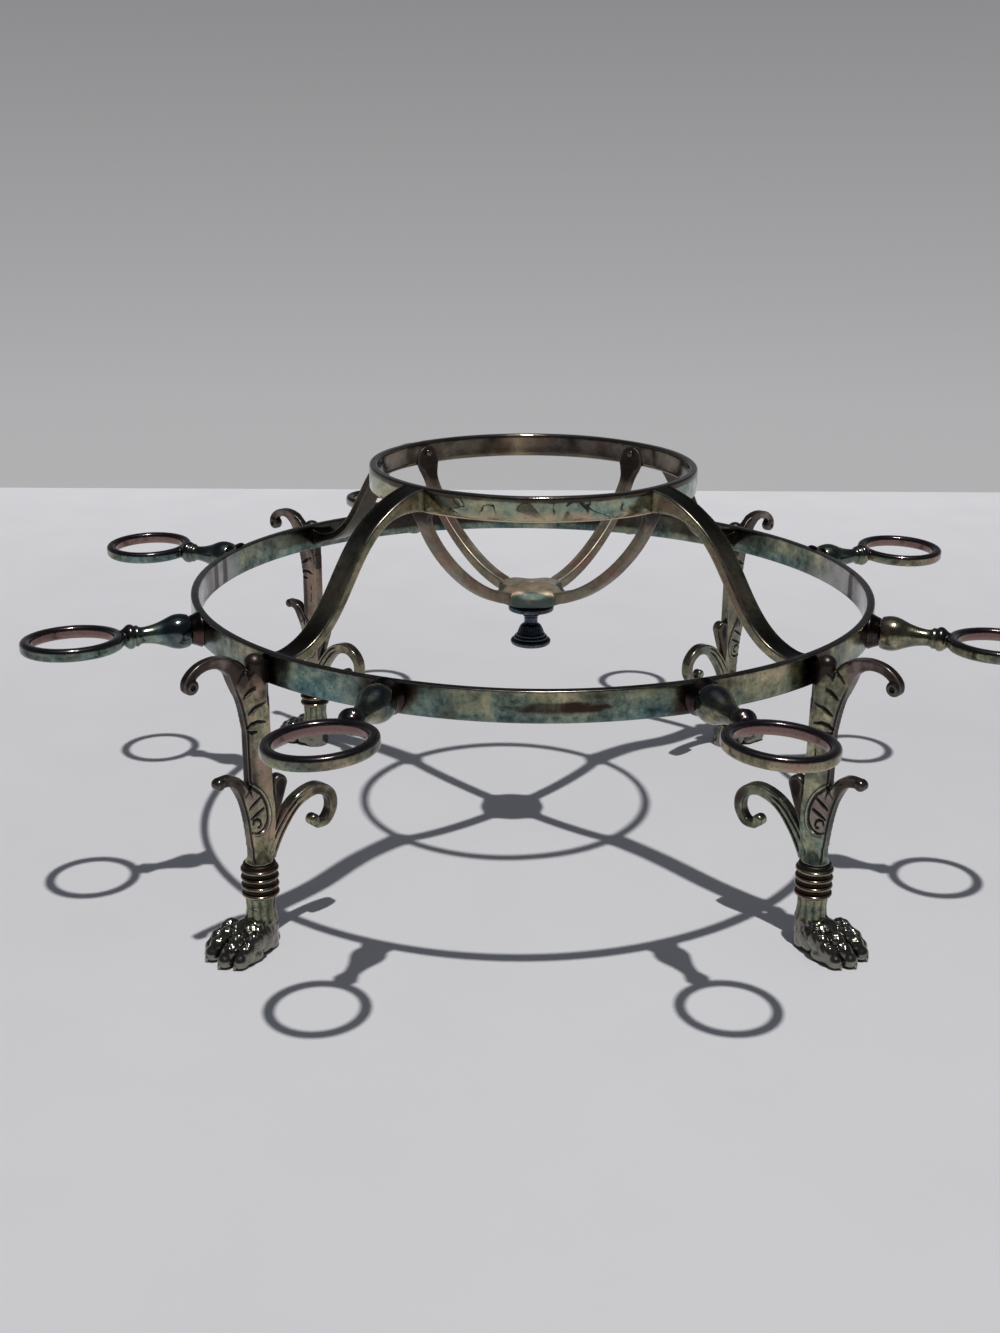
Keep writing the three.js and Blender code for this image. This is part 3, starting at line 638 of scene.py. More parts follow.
def hoop(outer, wall, height, middle, rounding, crown, seed, segments):
    """A flat strip on edge closed into a ring, its faces slightly crowned and a little uneven."""
    outline = rounded_outline(wall / 2, height / 2, rounding)
    swell = np.sign(outline[:, 0]) * crown * unit(1 - (outline[:, 1] / (height / 2)) ** 2)
    angles = np.arange(segments) * 2 * math.pi / segments
    rows = []
    for angle, out, up in zip(angles, ripple(angles, seed, 0.10), ripple(angles, seed + 1, 0.07)):
        radius = outer - wall / 2 + outline[:, 0] + swell + out
        rows.append(np.stack([radius * math.cos(angle), radius * math.sin(angle), middle + outline[:, 1] + up],
                             axis=1))
    return sections(rows, closed=True)


def beside(x, y, azimuths, width):
    """1 at the given azimuths of a ring, falling to 0 a width (in degrees) away."""
    angle = np.degrees(np.arctan2(y, x))
    near = np.min([np.abs((angle - azimuth + 180) % 360 - 180) for azimuth in azimuths], axis=0)
    return np.clip(1.25 - near / width, 0, 1)


def band_paint(x, y, z):
    """Dark beside the castings, with a spindle-shaped mark in front; at the sides of the view a painted pale
    reflection on the inner face and top, and less painted dark reflection on the top.
    """
    outer = (np.hypot(x, y) > BAND_OUTER - BAND_WALL / 2) * 1.0
    ends = unit(1 - np.abs(y - 5) / 70)
    streaks = (1 - outer) * beside(x, y, (4.0, 166.5, 171.0), 1.3)
    back = rising(y / BAND_OUTER, 0.45, 0.3)
    on_top = (z > BAND_TOP - 0.5) * 1.0
    low = falling(z, BAND_MIDDLE - 1.5, 3)
    spindle = ((np.degrees(np.arctan2(y, x)) + 88.4) / 9.0) ** 2 + np.abs(z - BAND_MIDDLE + 0.6) / 3.2
    stain_and_shade = most(beside(x, y, BOWL_AZIMUTHS, 4.6), beside(x, y, SUPPORT_AZIMUTHS, 4.2),
                 0.6 * falling(spindle, 1.1, 0.35))
    # At the sides of the view the inner face and the top are painted pale, a painted reflection of bright
    # surroundings.
    return {"stain_and_shade": most(outer * stain_and_shade, streaks), "blush_and_sheen": most(1 - outer, on_top) * ends * 1.2,
            "within": (0.35 + 0.65 * back) * (1 - 0.62 * low), "no_top_reflection": 0.55 * ends}


def upper_paint(x, y, z):
    """Dark at the brackets and along the top, paler below, with a warm patch inside at the back."""
    outer = (np.hypot(x, y) > UPPER_OUTER - UPPER_WALL / 2) * 1.0
    height = (z - UPPER_TOP) / UPPER_HEIGHT + 1
    stain_and_shade = most(beside(x, y, SUPPORT_AZIMUTHS, 7), 0.85 * rising(height, 0.70, 0.14))
    blush_and_sheen = most(0.42 * falling(height, 0.62, 0.4), 1.3 * falling(height, 0.10, 0.06))
    middle = unit(1 - np.abs(x + 6) / 26)
    warm = (1 - outer) * (0.35 + 0.65 * middle) * (y > 0)
    return {"stain_and_shade": outer * stain_and_shade, "blush_and_sheen": most(outer * blush_and_sheen, warm), "within": 1 - 0.45 * middle * (y > 0)}


add_piece("band_ring", hoop(BAND_OUTER, BAND_WALL, BAND_HEIGHT, BAND_MIDDLE, 0.8, 0.12, 5, 720), "stand",
          ["main_ring"], band_metal, paint=band_paint)
add_piece("seat_ring", hoop(UPPER_OUTER, UPPER_WALL, UPPER_HEIGHT, UPPER_MIDDLE, 1.0, 0.15, 9, 360), "stand",
          ["upper_ring"], upper_metal, paint=upper_paint)


# Brackets and ribs, swept along curves in the radial plane

def bezier(corners, share):
    """Point and direction at a share of a cubic curve."""
    a, b, c, d = (np.array(p, float) for p in corners)
    rest = 1 - share
    point = rest ** 3 * a + 3 * rest ** 2 * share * b + 3 * rest * share ** 2 * c + share ** 3 * d
    along = 3 * (rest ** 2 * (b - a) + 2 * rest * share * (c - b) + share ** 2 * (d - c))
    return point, along / np.linalg.norm(along)


def bar_section(point, along, half_width, half_thickness, rounding, rim=0.0, rim_width=1.0):
    """One section of a flat bar; its upper face is sunk between two rims."""
    outline = rounded_outline(half_width, half_thickness, min(rounding, half_thickness * 0.95), edge=10)
    sunk = rim * rising(half_width - np.abs(outline[:, 0]), rim_width, 1.2) ** 2
    outline[:, 1] -= np.where(outline[:, 1] > half_thickness * 0.6, sunk, 0)
    upward = np.array([-along[1], along[0]]) * (1 if along[0] >= 0 else -1)
    flat = point + outline[:, 1:] * upward
    return np.stack([flat[:, 0], outline[:, 0], flat[:, 1]], axis=1)


def bracket():
    """A strap as deep as the rings at both of its ends."""
    head = UPPER_OUTER - UPPER_WALL / 2
    foot = BAND_OUTER - BAND_WALL / 2
    foot_thickness = 12
    flare = 1.3
    steps = 110
    corners = ((head, UPPER_MIDDLE), (head + BRACKET_SHOULDER, UPPER_MIDDLE),
               (foot - BRACKET_INSTEP, BAND_MIDDLE), (foot, BAND_MIDDLE))
    rows = []
    for share in np.arange(steps + 1) / steps:
        point, along = bezier(corners, share)
        thickness = BRACKET_THICKNESS + (UPPER_HEIGHT - BRACKET_THICKNESS) * max(0, 1 - share / 0.2) ** 1.5
        thickness += (foot_thickness - BRACKET_THICKNESS) * max(0, 1 - (1 - share) / 0.1) ** 2
        to_ring = min(abs(point[0] - UPPER_OUTER), abs(BAND_OUTER - BAND_WALL - point[0]))
        half_width = BRACKET_WIDTH / 2 + flare * math.exp(-to_ring / 1.6)
        rows.append(bar_section(point, along, half_width, thickness / 2, 1.1, rim=0.5, rim_width=0.9))
    return sections(rows)


def rib():
    """A strap with a round tab against the inside of the upper ring and an end let into the hub."""
    head = np.array([UPPER_OUTER - UPPER_WALL - 0.9, UPPER_TOP - UPPER_HEIGHT])
    root = np.array([17.12, 146.3])
    corners = (head, head + (-3.6, -20.5), root + (31, 4.4), root)
    tab_height = 10.5
    tab_steps = 12
    steps = 90
    rows = []
    for step in range(tab_steps):
        rise = tab_height * (1 - step / tab_steps)
        half_width = RIB_HEAD_WIDTH / 2 * math.sqrt(max(0.0, 1 - (rise / tab_height) ** 2.6))
        near = max(0.0, 1 - rise / 4)
        rows.append(bar_section(head + (0.3 * (1 - near), rise), np.array([-0.001, -1.0]), max(0.6, half_width),
                                0.55 + 0.57 * near, 0.5, rim=0.25 * near, rim_width=0.8))
    for share in np.arange(steps + 1) / steps:
        point, along = bezier(corners, share)
        drop = head[1] - point[1]
        into_hub = max(0.0, 1 - (point[0] - root[0]) / 5)
        half_width = RIB_WIDTH / 2 + (RIB_HEAD_WIDTH - RIB_WIDTH) / 2 * max(0.0, 1 - drop / 11) ** 2.2
        half_thickness = (4.5 + 2.1 * share) / 2 * (1 - 0.5 * max(0.0, 1 - drop / 3))
        rows.append(bar_section(point, along, half_width - 0.6 * into_hub, half_thickness - 0.5 * into_hub, 1.25,
                                rim=0.25, rim_width=0.8))
    rows.append(bar_section(root - (4, 0.4), np.array([-1.0, 0.0]), 2.8, 2.0, 1.0))
    return sections(rows)


def rib_paint(x, y, z):
    return {"stain_and_shade": rising(z, 192, 12)}


add_round("bracket_arm", bracket(), bracket_metal)
add_round("cradle_rib", rib(), rib_metal, paint=rib_paint)


def hub_field(x, y, z):
    """A cushioned square plate on a bowl, with a stub towards each rib and a hole for the stud."""
    half = 15.7
    corner = 10.5
    plate_half = 2.4
    stub_middle = 146.2
    flat = np.hypot(np.maximum(np.abs(x) - half + corner, 0), np.maximum(np.abs(y) - half + corner, 0)) - corner
    uneven = 0.25 + 0.25 * np.sin(0.5 * x + 0.9) * np.sin(0.62 * y + 0.3 * x)
    plate = extruded(flat, z - (HUB_TOP - plate_half) + uneven, plate_half, 2.2)
    widest = 145.6
    bowl = ball(x, y, np.where(z > widest, widest + 1.5 * (z - widest), z), (0, 0, widest), (19.0, 19.0, 7.6))
    bowl = smooth_max(smooth_max(bowl, HUB_BOTTOM + 0.3 - z, 0.8), z - HUB_TOP, 0.8)
    whole = smooth_min(plate, bowl, 3.5)
    for turn in SUPPORT_AZIMUTHS:
        c, s = math.cos(math.radians(turn)), math.sin(math.radians(turn))
        out = c * x + s * y
        across = -s * x + c * y
        side = np.hypot(np.maximum(np.abs(across) - 2.9, 0), np.maximum(np.abs(z - stub_middle) - 1.7, 0)) - 1.7
        side = side + 0.8 * rising(out, 13, 7)
        whole = smooth_min(whole, np.maximum(side, np.abs(out - 12) - 8.5), 5.0)
    return smooth_max(whole, np.minimum(STUD_BORE - np.hypot(x, y), STUD_BORE_TOP - z), 0.3)


def hub_paint(x, y, z):
    """Dark green below the plate and on its four free edges."""
    far = np.maximum(np.abs(x), np.abs(y)) - 0.35 * np.minimum(np.abs(x), np.abs(y))
    return {"stain_and_shade": 0.85 * most(falling(z, 148.0, 1.8), rising(far, 12.6, 1.8))}


add_piece("cradle_hub_casting", surface(hub_field, (-22, -22, 137), (22, 22, 152), 0.5), "stand", ["cradle_hub"],
          hub_metal, paint=hub_paint)


# Finial

def stud_profile():
    """A rod with a fine thread."""
    bottom, top = KNOB_TOP - 17, HUB_BOTTOM + 6.5
    points = [(0.2, bottom), (STUD_RADIUS - 0.4, bottom)]
    height = bottom + 0.4
    while height < top - 0.6:
        points += [(STUD_RADIUS, height), (STUD_RADIUS - 0.3, height + 0.5)]
        height += 1.0
    return np.array(points + [(STUD_RADIUS - 0.4, top), (0.2, top)])


def washer_profile():
    bottom = WASHER_TOP - WASHER_THICKNESS
    return subdivide(soften([
        (STUD_BORE, bottom), (WASHER_RADIUS - 0.2, bottom), (WASHER_RADIUS, bottom + 1.2),
        (WASHER_RADIUS - 0.1, WASHER_TOP - 1.0), (WASHER_RADIUS - 1.4, WASHER_TOP),
        (STUD_BORE, WASHER_TOP),
    ], 0.7), 1.2)


def knob_profile():
    """From the small disc below, over the bell, to the neck."""
    return subdivide(soften([
        (0.2, 114.6), (6.8, 114.9), (10.6, 115.8), (11.4, 117.0), (11.3, 118.2), (10.4, 118.9), (9.4, 119.1),
        (9.6, 119.9), (9.0, 120.6), (8.2, 120.8), (8.3, 121.6), (7.6, 122.3), (7.2, 123.6), (6.2, 125.9),
        (5.4, 127.0), (4.1, 127.6), (3.7, 129.2), (3.9, 131.2), (3.7, 132.0), (4.6, 132.4), (4.6, 133.0),
        (3.8, 133.5), (4.4, 134.6), (5.2, 135.2), (5.2, KNOB_TOP), (2.5, KNOB_TOP),
    ], 0.6), 0.7)


def bell_reeds(angles, height):
    depth = 0.03 * rising(height, 122.6, 0.6) * falling(height, 126.8, 0.6)
    return 1 - depth * (0.5 - 0.5 * np.cos(24 * angles))


add_piece("finial_stud_rod", lathe(stud_profile(), 48), "stand", ["finial_stud"], finial_metal)
add_piece("finial_washer_disc", as_tube(washer_profile(), 128), "finial_washer", ["finial_washer"],
          finial_metal)
add_piece("finial_knob_turned", lathe(knob_profile(), 192, bell_reeds), "finial_knob", ["finial_knob"],
          finial_metal)


# Sockets and bowl arms

def socket_shape():
    bore = 2.8
    profile = soften([
        (bore, SOCKET_BASE), (9.4, SOCKET_BASE), (9.1, SOCKET_BASE + 1.0), (8.5, SOCKET_BASE + 2.2),
        (7.9, SOCKET_BASE + 3.6), (7.5, SOCKET_FACE - 0.8), (7.1, SOCKET_FACE), (bore, SOCKET_FACE),
    ], 0.5)
    return lay_outwards(as_tube(profile, 96), BAND_MIDDLE)


ARM_PROFILE = curve_through([
    (187.6, 2.4), (190.5, 2.5), (192.7, 2.5), (193.15, 2.9), (193.3, 6.4), (193.6, 8.0), (195.2, 8.6), (197.6, 9.0),
    (200.2, 8.9), (202.8, 8.2), (205.4, 7.1), (208.2, 6.0), (211.2, 5.1), (214.2, 4.5), (216.6, 4.25), (218.2, 4.4),
    (219.2, 5.1), (219.9, 5.5), (220.6, 5.2), (221.3, 5.4), (222.4, 6.2), (223.6, 6.3), (224.8, 5.9), (226.2, 4.8),
    (228.0, 3.2), (229.6, 0.6),
], 260)


def arm_field(x, y, z):
    """The turned stem and the small ring in one."""
    across = np.hypot(y, z - BAND_MIDDLE)
    stem = (across - np.interp(x, ARM_PROFILE[:, 0], ARM_PROFILE[:, 1])) * 0.85
    stem = most(stem, ARM_PROFILE[0, 0] - x, x - ARM_PROFILE[-1, 0])
    flat = np.abs(np.hypot(x - RING_DISTANCE, y) - (RING_OUTER - RING_WALL / 2)) - RING_WALL / 2
    return smooth_min(stem, extruded(flat, z - BAND_MIDDLE, RING_HEIGHT / 2, 2.1), 1.6)


def arm_paint(x, y, z):
    """Copper inside the small ring, a grey bulb."""
    inner = (RING_OUTER - RING_WALL * 0.62 - np.hypot(x - RING_DISTANCE, y)) / 0.8
    bulb = falling(x, 223, 3)
    # On the bulb the painted dark reflection of upper faces is mostly left off.
    return {"blush_and_sheen": unit(inner) * (x > 224), "stain_and_shade": 0.42 * bulb, "no_top_reflection": 0.9 * bulb}


# How far each arm is turned about its own axis at rest, in degrees
ARM_ROLL = (2.0, -3.0, 1.5, -2.0, 2.5, 4.5, -4.0, -2.0)
add_round("arm_socket", socket_shape(), socket_metal, BOWL_AZIMUTHS)
arm_shape = surface(arm_field, (186, -27, 135), (279, 27, 157), 0.6)
arm_bend = bend_of(arm_shape)
for number, (azimuth, roll) in enumerate(zip(BOWL_AZIMUTHS, ARM_ROLL), 1):
    lean = np.array(Matrix.Rotation(math.radians(roll), 3, "X"))
    middle = np.array([0, 0, BAND_MIDDLE])
    rolled = ((arm_shape[0] - middle) @ lean.T + middle, arm_shape[1], arm_shape[2])
    add_piece(f"bowl_arm_{number}_casting", rolled, f"bowl_arm_{number}", [f"bowl_arm_{number}"],
              arm_metal, azimuth, arm_bend, arm_paint)


# Legs: flat castings in the radial plane, built as a flat field with a thickness that varies

def leaf_line(points, start, end, count):
    """A spine with a half width that runs from start to end."""
    return np.column_stack([curve_through(points, count), np.linspace(start, end, count + 1)])


# Spines as (out, height, half width), and the balls at their ends
CREST = curve_through([
    (196.0, 107.8, 3.54), (198.4, 124.0, 3.6), (200.2, 134.0, 4.0), (202.0, 140.5, 4.8), (204.0, 146.0, 5.0),
    (206.8, 150.2, 4.0), (211.2, 153.2, 3.05), (216.0, 154.9, 2.3), (221.0, 155.0, 2.0), (225.6, 153.8, 1.9),
    (229.4, 151.4, 1.9), (231.7, 148.6, 1.9), (231.8, 146.2, 1.9),
], 48)
CREST_BALL = (230.2, 146.5, 3.8)
MID = leaf_line([(197.0, 57.4), (199.4, 72.4), (203.2, 84.6), (209.1, 93.2), (216.9, 94.7)], 4.2, 1.7, 22)
MID_BALL = (217.407, 93.974, 2.8)
BUD = leaf_line([(189.65, 58.5), (186.6, 69.5), (183.6, 79.5), (182.6, 84.9)], 1.6, 4.6, 14)
CURL = leaf_line([
    (190.151, 49.18), (183.1622, 60.7), (172.871, 71.356), (160.1606, 75.1), (151.0598, 70.2904), (149.255, 62.5),
    (153.2486, 55.8904), (159.047, 55.3),
], 3.9, 2.1, 44)
CURL_BALL = (161.255, 58.3096, 3.1)

# Outlines as (out, height): the column, the dark wedge at its head and the rim of the middle leaf
COLUMN = ((LEG_INNER, LEG_BOTTOM), (LEG_OUTER, LEG_BOTTOM), (LEG_OUTER, 132), (200.0, 143), (193.5, 149.5),
          (LEG_INNER, 149.5))
WEDGE = ((LEG_INNER - 1, 122), (187.9, 125), (188.8, 132.3), (192.2, 140.7), (195.2, 145.6), (199.2, 148.6),
         (199.2, 158), (LEG_INNER - 1, 158))
MID_RIM = curve_through([
    (207.9, 93.4), (202.0, 90.7), (197.5, 87.3), (193.6, 82.6), (191.2, 77.4), (190.2, 72.2), (190.6, 67.4),
    (192.7, 63.6), (196.2, 62.1), (200.2, 63.4),
], 44)
# The cut line just inside that rim
MID_GROOVE = [(u + (1.2 if u < 200 else 0.5), v - (0.8 if v > 85 else -0.9 if v < 66 else 0), 0.35)
              for u, v in MID_RIM]

# Cut strokes as chains of (out, height, half width)
STROKES = (
    ((205.2, 143.4, 0.5), (203.1, 146.2, 0.8), (199.6, 148.4, 0.5)),
    ((203.0, 134.2, 0.5), (199.4, 136.6, 1.05), (196.6, 138.2, 1.05), (193.9, 139.6, 0.55)),
    ((200.0, 125.8, 0.35), (197.6, 127.1, 0.95), (194.2, 128.8, 1.0), (190.4, 130.4, 0.5)),
    ((190.4, 119.7, 0.45), (194.9, 120.8, 0.75), (198.7, 120.3, 0.9), (200.6, 118.8, 0.7)),
    ((195.6, 116.0, 0.35), (198.3, 115.9, 0.8), (200.2, 116.8, 0.5)),
    ((192.1, 111.3, 0.3), (192.2, 108.8, 0.3)),
    ((192.2, 106.3, 0.3), (192.4, 101.0, 0.3)),
    ((203.8, 84.0, 0.35), (201.6, 86.6, 0.6), (200.3, 87.9, 0.35)),
    ((202.2, 77.0, 0.4), (198.6, 79.2, 0.85), (195.2, 81.4, 0.45)),
    ((201.4, 71.4, 0.4), (197.6, 73.2, 0.9), (193.5, 75.2, 0.5)),
    ((200.3, 68.5, 0.35), (199.6, 70.4, 0.6), (197.7, 70.6, 0.65), (195.9, 69.3, 0.6), (195.3, 67.3, 0.5),
     (196.3, 66.0, 0.4), (197.7, 66.2, 0.3)),
)


def strokes(x, z):
    return np.min([chain((x, z), line) for line in STROKES], axis=0)


def leg_outline(x, z):
    """The column with both leaves as one flat shape."""
    return np.minimum(np.minimum(polygon(x, z, COLUMN), chain((x, z), CREST)), chain((x, z), MID)) - 0.4


def relief(x, z):
    """Raised (positive) and cut (negative) work on the flat faces of the leg, in mm."""
    rim = chain((x, z), [(u, v, 0.25) for u, v in MID_RIM])
    groove = chain((x, z), MID_GROOVE)
    depth = 0.7 * unit(0.9 - rim / 0.7) - 0.6 * unit(0.7 - groove / 0.6)
    depth = (depth - 0.8 * unit(0.5 - strokes(x, z) / 0.5)) * unit((201.5 - x) / 0.8 + (z > 76))
    return depth - 0.6 * unit(1 - np.abs(polygon(x, z, WEDGE)) / 0.7) * (z > 127)


def edge_groove(x, flat):
    """Share of the groove that runs inside the outer edge; flat is the distance to the leg's outline."""
    return unit(1.7 - np.abs(flat + 0.6) / 0.5) * rising(x, 193.5, 1.5) * falling(x, 208, 3)


def leg_ink(x, y, z, flat, bud):
    """Cuts and hollows that hold black."""
    curl_edge = unit(1.1 - np.abs(chain((x, z), CURL) + 2.1) / 0.9) * rising(x, 166, 6) * (x < 186)
    dish = unit(1.6 - np.hypot((x - 183.0) / 3.4, (z - 83.6) / 5.2))
    on_faces = most(unit(0.6 - strokes(x, z) / 0.45), edge_groove(x, flat),
                    0.85 * unit(0.9 - chain((x, z), MID_GROOVE) / 0.6),
                    0.6 * unit(1 - np.abs(polygon(x, z, WEDGE)) / 0.6) * (z > 128),
                    0.8 * bud * dish, 0.75 * curl_edge)
    return most(on_faces * (np.abs(y) < LEG_HALF + 1.2), 0.5 * rising(x, 225, 4),
                0.45 * rising(z, 141, 4) * falling(x, 199, 1.5))


def leg_paint(x, y, z):
    """Black in the cuts, brown at the head, brown painted shade along the outer edge, copper on the crest's curl."""
    flat = leg_outline(x, z)
    bud = unit(0.5 - chain((x, z), BUD) / 0.8) * (x < 187)
    wedge = unit(0.6 - polygon(x, z, WEDGE) / 0.8)
    # Painted shade: brown beside the groove along the outer edge.
    outer_part = 0.78 * unit(1 + flat / 9) * rising(x, 193.5, 3) * np.clip((z - 58) / 14, 0.3, 1)
    outer_face = (0.85 * unit(1.4 + flat / 0.6) * rising(x, 197, 2) * falling(np.abs(y), 2.9, 0.5)
                  * rising(z, 78, 8) * falling(z, 122, 8))
    shading = most(outer_part, 0.62 * rising(z, 108, 32), outer_face)
    crest = rising(x, 203.5, 4) * rising(z, 141, 4)
    curl = 0.4 * falling(x, 166, 5)
    panel = unit(-polygon(x, z, MID_RIM) / 1.2)
    mid = most(0.2 * panel, 0.85 * rising(x, 202.5, 3) * (z < 105))
    return {"ink_and_shade": leg_ink(x, y, z, flat, bud), "stain_and_shade": most(wedge, shading * (1 - 0.6 * panel), curl, mid, bud),
            "blush_and_sheen": most(crest, 0.5 * panel)}


def leg_field(x, y, z):
    leaf = leg_outline(x, z)
    half = LEG_HALF + relief(x, z) - 0.9 * edge_groove(x, leaf) - 0.8 * rising(x, 206, 14)
    body = extruded(leaf, y, half, 0.55)
    dish = ball(x, np.abs(y), z, (183.0, 4.2, 83.6), (3.4, 1.7, 5.2))
    bud = smooth_max(extruded(chain((x, z), BUD), y, 3.3, 1.8), -dish, 0.5)
    curl = chain((x, z), CURL)
    channel = unit(1.2 - np.abs(curl + 2.0) / 0.7) * rising(x, 168, 6)
    curl = extruded(curl, y, 3.1 - 1.3 * channel, 1.3)
    head = chain((x, y, z), ((192.955, 0, 148.9, 5.3), (192.955, 0, 138.5, 5.3), (190.6, 0, 122, 3.1),
                             (189.4, 0, 112, 1.8)))
    pit = ball(x, np.abs(y), z, (CREST_BALL[0], 3.8, CREST_BALL[1]), (1.7, 1.8, 1.7))
    ends = smooth_max(extruded(disc(x, z, CREST_BALL), y, 3.1, 2.0), -pit, 0.4)
    for spot in (MID_BALL, CURL_BALL):
        ends = np.minimum(ends, extruded(disc(x, z, spot), y, 3.4, 2.2))
    from_axis = np.hypot(x - FOOT_AXIS, y)
    foot = (from_axis - 7.2 + (z - LEG_BOTTOM) * 0.62) * 0.85
    tenon = most(from_axis - TENON_RADIUS, TENON_BOTTOM - z, z - 50)
    whole = body
    for part, reach in ((head, 0.8), (bud, 0.9), (curl, 0.9), (ends, 0.5), (foot, 1.2)):
        whole = smooth_min(whole, part, reach)
    whole = np.minimum(np.maximum(whole, LEG_BOTTOM - z), tenon)
    # The inner face is cut flat where it stands against the band
    return np.maximum(whole, LEG_INNER - x - 400 * (z < 132))


add_round("leg", surface(leg_field, (144, -7.5, 17), (239, 7.5, 159), 0.5),
          leg_metal, paint=leg_paint)


# Collars and paws

def collar_shape():
    """Four beads with a hollow above each; the hollows are painted black as shade."""
    pitch = (COLLAR_TOP - COLLAR_BOTTOM) / 4
    bead = 0.95
    profile = [(TENON_BORE, COLLAR_BOTTOM)]
    for step in range(4):
        foot = COLLAR_BOTTOM + step * pitch
        for turn in np.radians(range(-72, 85, 12)):
            profile.append((COLLAR_RADIUS - bead + bead * math.cos(turn), foot + 1.1 + bead * math.sin(turn)))
        profile += [(COLLAR_RADIUS - depth, foot + share * pitch)
                    for depth, share in ((1.2, 0.54), (1.45, 0.7), (1.4, 0.9))]
    points, quads, caps = as_tube(profile + [(TENON_BORE, COLLAR_TOP)], 96)
    return points + (FOOT_AXIS, 0, 0), quads, caps


# Each toe: half width, then (out, across) of its two knuckles and its tip
TOES = (
    (4.5, (17.0, 4.5), (23.2, 5.0), (27.0, 5.1)),
    (4.1, (12.0, 10.2), (18.4, 11.3), (22.4, 11.4)),
)


def toe_field(out, across, z, half, first, second, tip):
    place = (out, across, z)
    knuckle = ball(*place, (*first, 9.6), (6.0, half, 5.6))
    middle = ball(*place, (*second, 6.4), (4.8, 0.96 * half, 4.9))
    end = ball(*place, (*tip, 3.5), (3.9, 0.9 * half, 3.8))
    pad = chain(place, ((*first, 3.2, 3.6), (*tip, 2.6, 2.8)))
    claw = chain(place, [(tip[0] + along, tip[1], height, radius)
                         for along, height, radius in ((1.5, 4.2, 1.6), (3.3, 2.4, 1.2), (3.8, 0.9, 0.6))])
    toe = smooth_min(smooth_min(knuckle, middle, 1.6), end, 1.4)
    return smooth_min(smooth_min(toe, pad, 1.0), claw, 0.4)


def paw_field(x, y, z):
    """A fluted ankle, an instep with a curled pelt, a heel, two tendons and four toes."""
    out = x - FOOT_AXIS
    from_axis = np.hypot(out, y)
    flute = 0.32 * np.cos(11 * np.arctan2(y, out)) * rising(z, 14, 2)
    ankle = from_axis - np.interp(z, (4, 11.5, 15.0, 17.5, 22, 28.5), (7.6, 8.2, 8.3, 7.6, 7.0, 7.4)) - flute
    ankle = np.maximum(ankle, z - ANKLE_TOP) * 0.9
    instep = ball(out, y, z, (6.4, 0, 6.8), (11.6, 11.2, 10.4))
    curls = 0.16 * np.sin(1.9 * out + 0.8 * np.sin(1.3 * y)) * np.sin(1.7 * y + 0.5 * z) * rising(z, 6, 3)
    heel = ball(out, y, z, (-0.8, 0, 3.4), (6.2, 8.4, 4.8))
    whole = smooth_min(smooth_min(ankle, instep, 1.4), heel, 1.6)
    toes = smooth_min(*(toe_field(out, np.abs(y), z, *toe) for toe in TOES), 0.5)
    tendon = chain((out, np.abs(y), z), ((9.0, 2.4, 14.6, 2.0), (14.0, 3.8, 12.4, 2.4)))
    whole = smooth_min(whole, smooth_min(toes, tendon, 1.2), 1.2) - curls * falling(z, 17, 2)
    whole = smooth_max(whole, -z, 0.4)
    return np.maximum(whole, np.where(z > TENON_BORE_BOTTOM, TENON_BORE - from_axis, -5.0))


def collar_paint(x, y, z):
    # The hollows above the beads are painted black, a painted shade.
    return {"ink_and_shade": falling(np.hypot(x - FOOT_AXIS, y), COLLAR_RADIUS - 0.45, 0.25)}


def paw_paint(x, y, z):
    foot = falling(z, 17.5, 3)
    return {"blush_and_sheen": 0.7 * foot, "stain_and_shade": 0.22 * foot}


add_round("leg_collar", collar_shape(), collar_metal, paint=collar_paint, flat=True)
add_round("paw", surface(paw_field, (181, -17, -1), (229, 17, 30), 0.4), paw_metal,
          paint=paw_paint)


# Pins: the small heads inside the upper ring show as pale spots, the pins at the legs are inside

def ring_pin_shape():
    profile = soften([(0.2, 82.2), (1.5, 82.3), (2.0, 82.75), (2.0, 95.1), (0.2, 95.1)], 0.3)
    return lay_outwards(lathe(profile, 48), UPPER_MIDDLE)


add_round("ring_pin", ring_pin_shape(), pin_metal)
for name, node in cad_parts.items():
    if name.startswith("leg_pin"):
        node.data.materials.clear()
        node.data.materials.append(pin_metal)


# Floor, surroundings, light and camera

def add_floor():
    """A plane that ends behind the object, where the pale background takes over."""
    half = 12.0
    back = 0.945
    mesh = bpy.data.meshes.new("floor")
    mesh.from_pydata([(-half, -half, 0), (half, -half, 0), (half, back, 0), (-half, back, 0)], [], [(0, 1, 2, 3)])
    mesh.materials.append(floor_material())
    floor = add_object("floor", mesh)


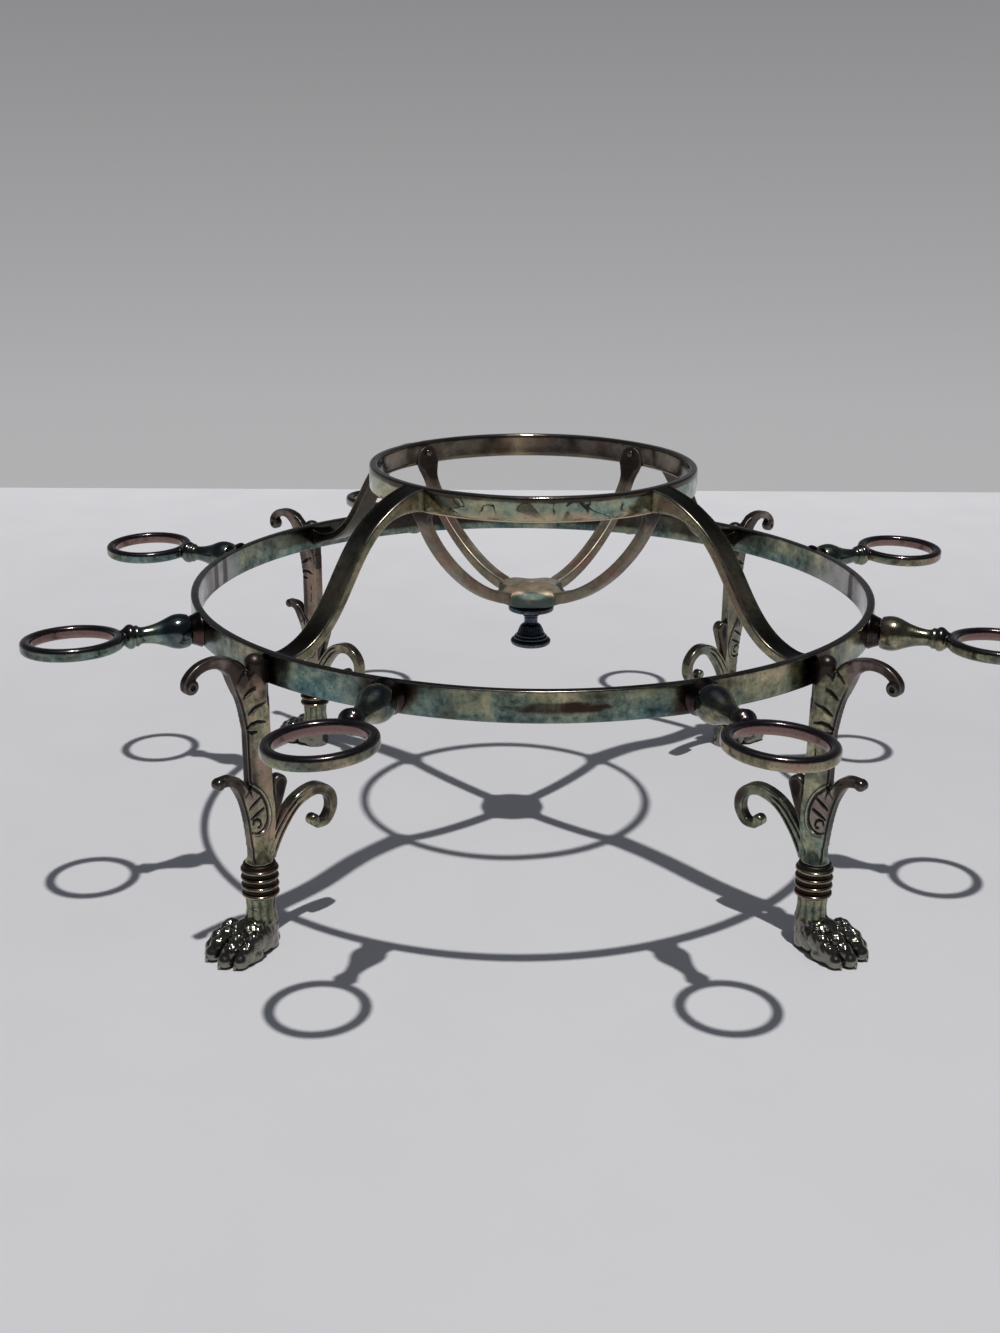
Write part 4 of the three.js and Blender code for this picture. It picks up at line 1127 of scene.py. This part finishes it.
# Greys of the surroundings as (height of the direction, colour), in front of the object and behind it
SKY = ((0.84, (0.064, 0.071, 0.088)), (1.0, (0.34, 0.36, 0.40)))
FRONT = ((-0.25, (0.14, 0.14, 0.14)), (0.0, (0.13, 0.13, 0.13)), (0.12, (0.09, 0.09, 0.095)),
         (0.3, (0.06, 0.064, 0.072)), *SKY)
BEHIND = ((-0.25, (0.45, 0.445, 0.45)), (-0.155, (0.43, 0.425, 0.435)), (-0.08, (0.372, 0.366, 0.376)),
          (0.026, (0.30, 0.297, 0.305)), (0.10, (0.25, 0.25, 0.26)), (0.30, (0.09, 0.095, 0.105)), *SKY)


def add_world():
    world = bpy.data.worlds.new("studio")
    bpy.context.scene.world = world
    w = Wiring(world, "Generated")
    lowest = -0.25
    height = w.span(w.part(w.place, 2), lowest, 1)
    behind = w.span(w.part(w.place, 1), -0.35, 0.25)
    front, back = (w.ramp(height, [((z - lowest) / (1 - lowest), colour) for z, colour in stops])
                   for stops in (FRONT, BEHIND))
    w.add_node("ShaderNodeOutputWorld", {0: w.made("ShaderNodeBackground", {0: w.blend(behind, front, back)})})


def aim(place, direction, up):
    """Matrix that puts a camera or light at a place, looking along a direction."""
    back = -np.array(direction, float)
    back /= np.linalg.norm(back)
    right = np.cross(up, back)
    right /= np.linalg.norm(right)
    matrix = np.eye(4)
    matrix[:3] = np.stack([right, np.cross(back, right), back, place], axis=1)
    return Matrix(matrix)


def add_key():
    """A distant soft light, so the floor is lit evenly."""
    data = bpy.data.lights.new("key", "SUN")
    data.energy = 2.2
    data.angle = math.radians(1.2)
    data.color = (1.0, 0.985, 0.965)
    toward = np.array([0.0586, -0.228, 1])
    toward /= np.linalg.norm(toward)
    add_object("key", data).matrix_world = aim(toward * 3, -toward, (0, 1, 0))


def add_camera():
    """The photograph's camera, as fitted to the rings and feet."""
    pitch, yaw, roll = math.radians(18.72), math.radians(1.08), 0.0088
    forward = np.array([math.sin(yaw) * math.cos(pitch), math.cos(yaw) * math.cos(pitch), -math.sin(pitch)])
    right = np.array([math.cos(yaw), -math.sin(yaw), 0])
    up = np.cross(right, forward) * math.cos(roll) - right * math.sin(roll)
    data = bpy.data.cameras.new("camera")
    data.sensor_width = 36
    data.lens = 41.57
    data.clip_end = 60
    camera = add_object("camera", data)
    place = np.array([-32.9, -831.6, 383.5]) * MM
    camera.matrix_world = aim(place, forward, up)
    bpy.context.scene.camera = camera


add_floor()
add_world()
add_key()
add_camera()
bpy.context.scene.view_settings.view_transform = "Standard"
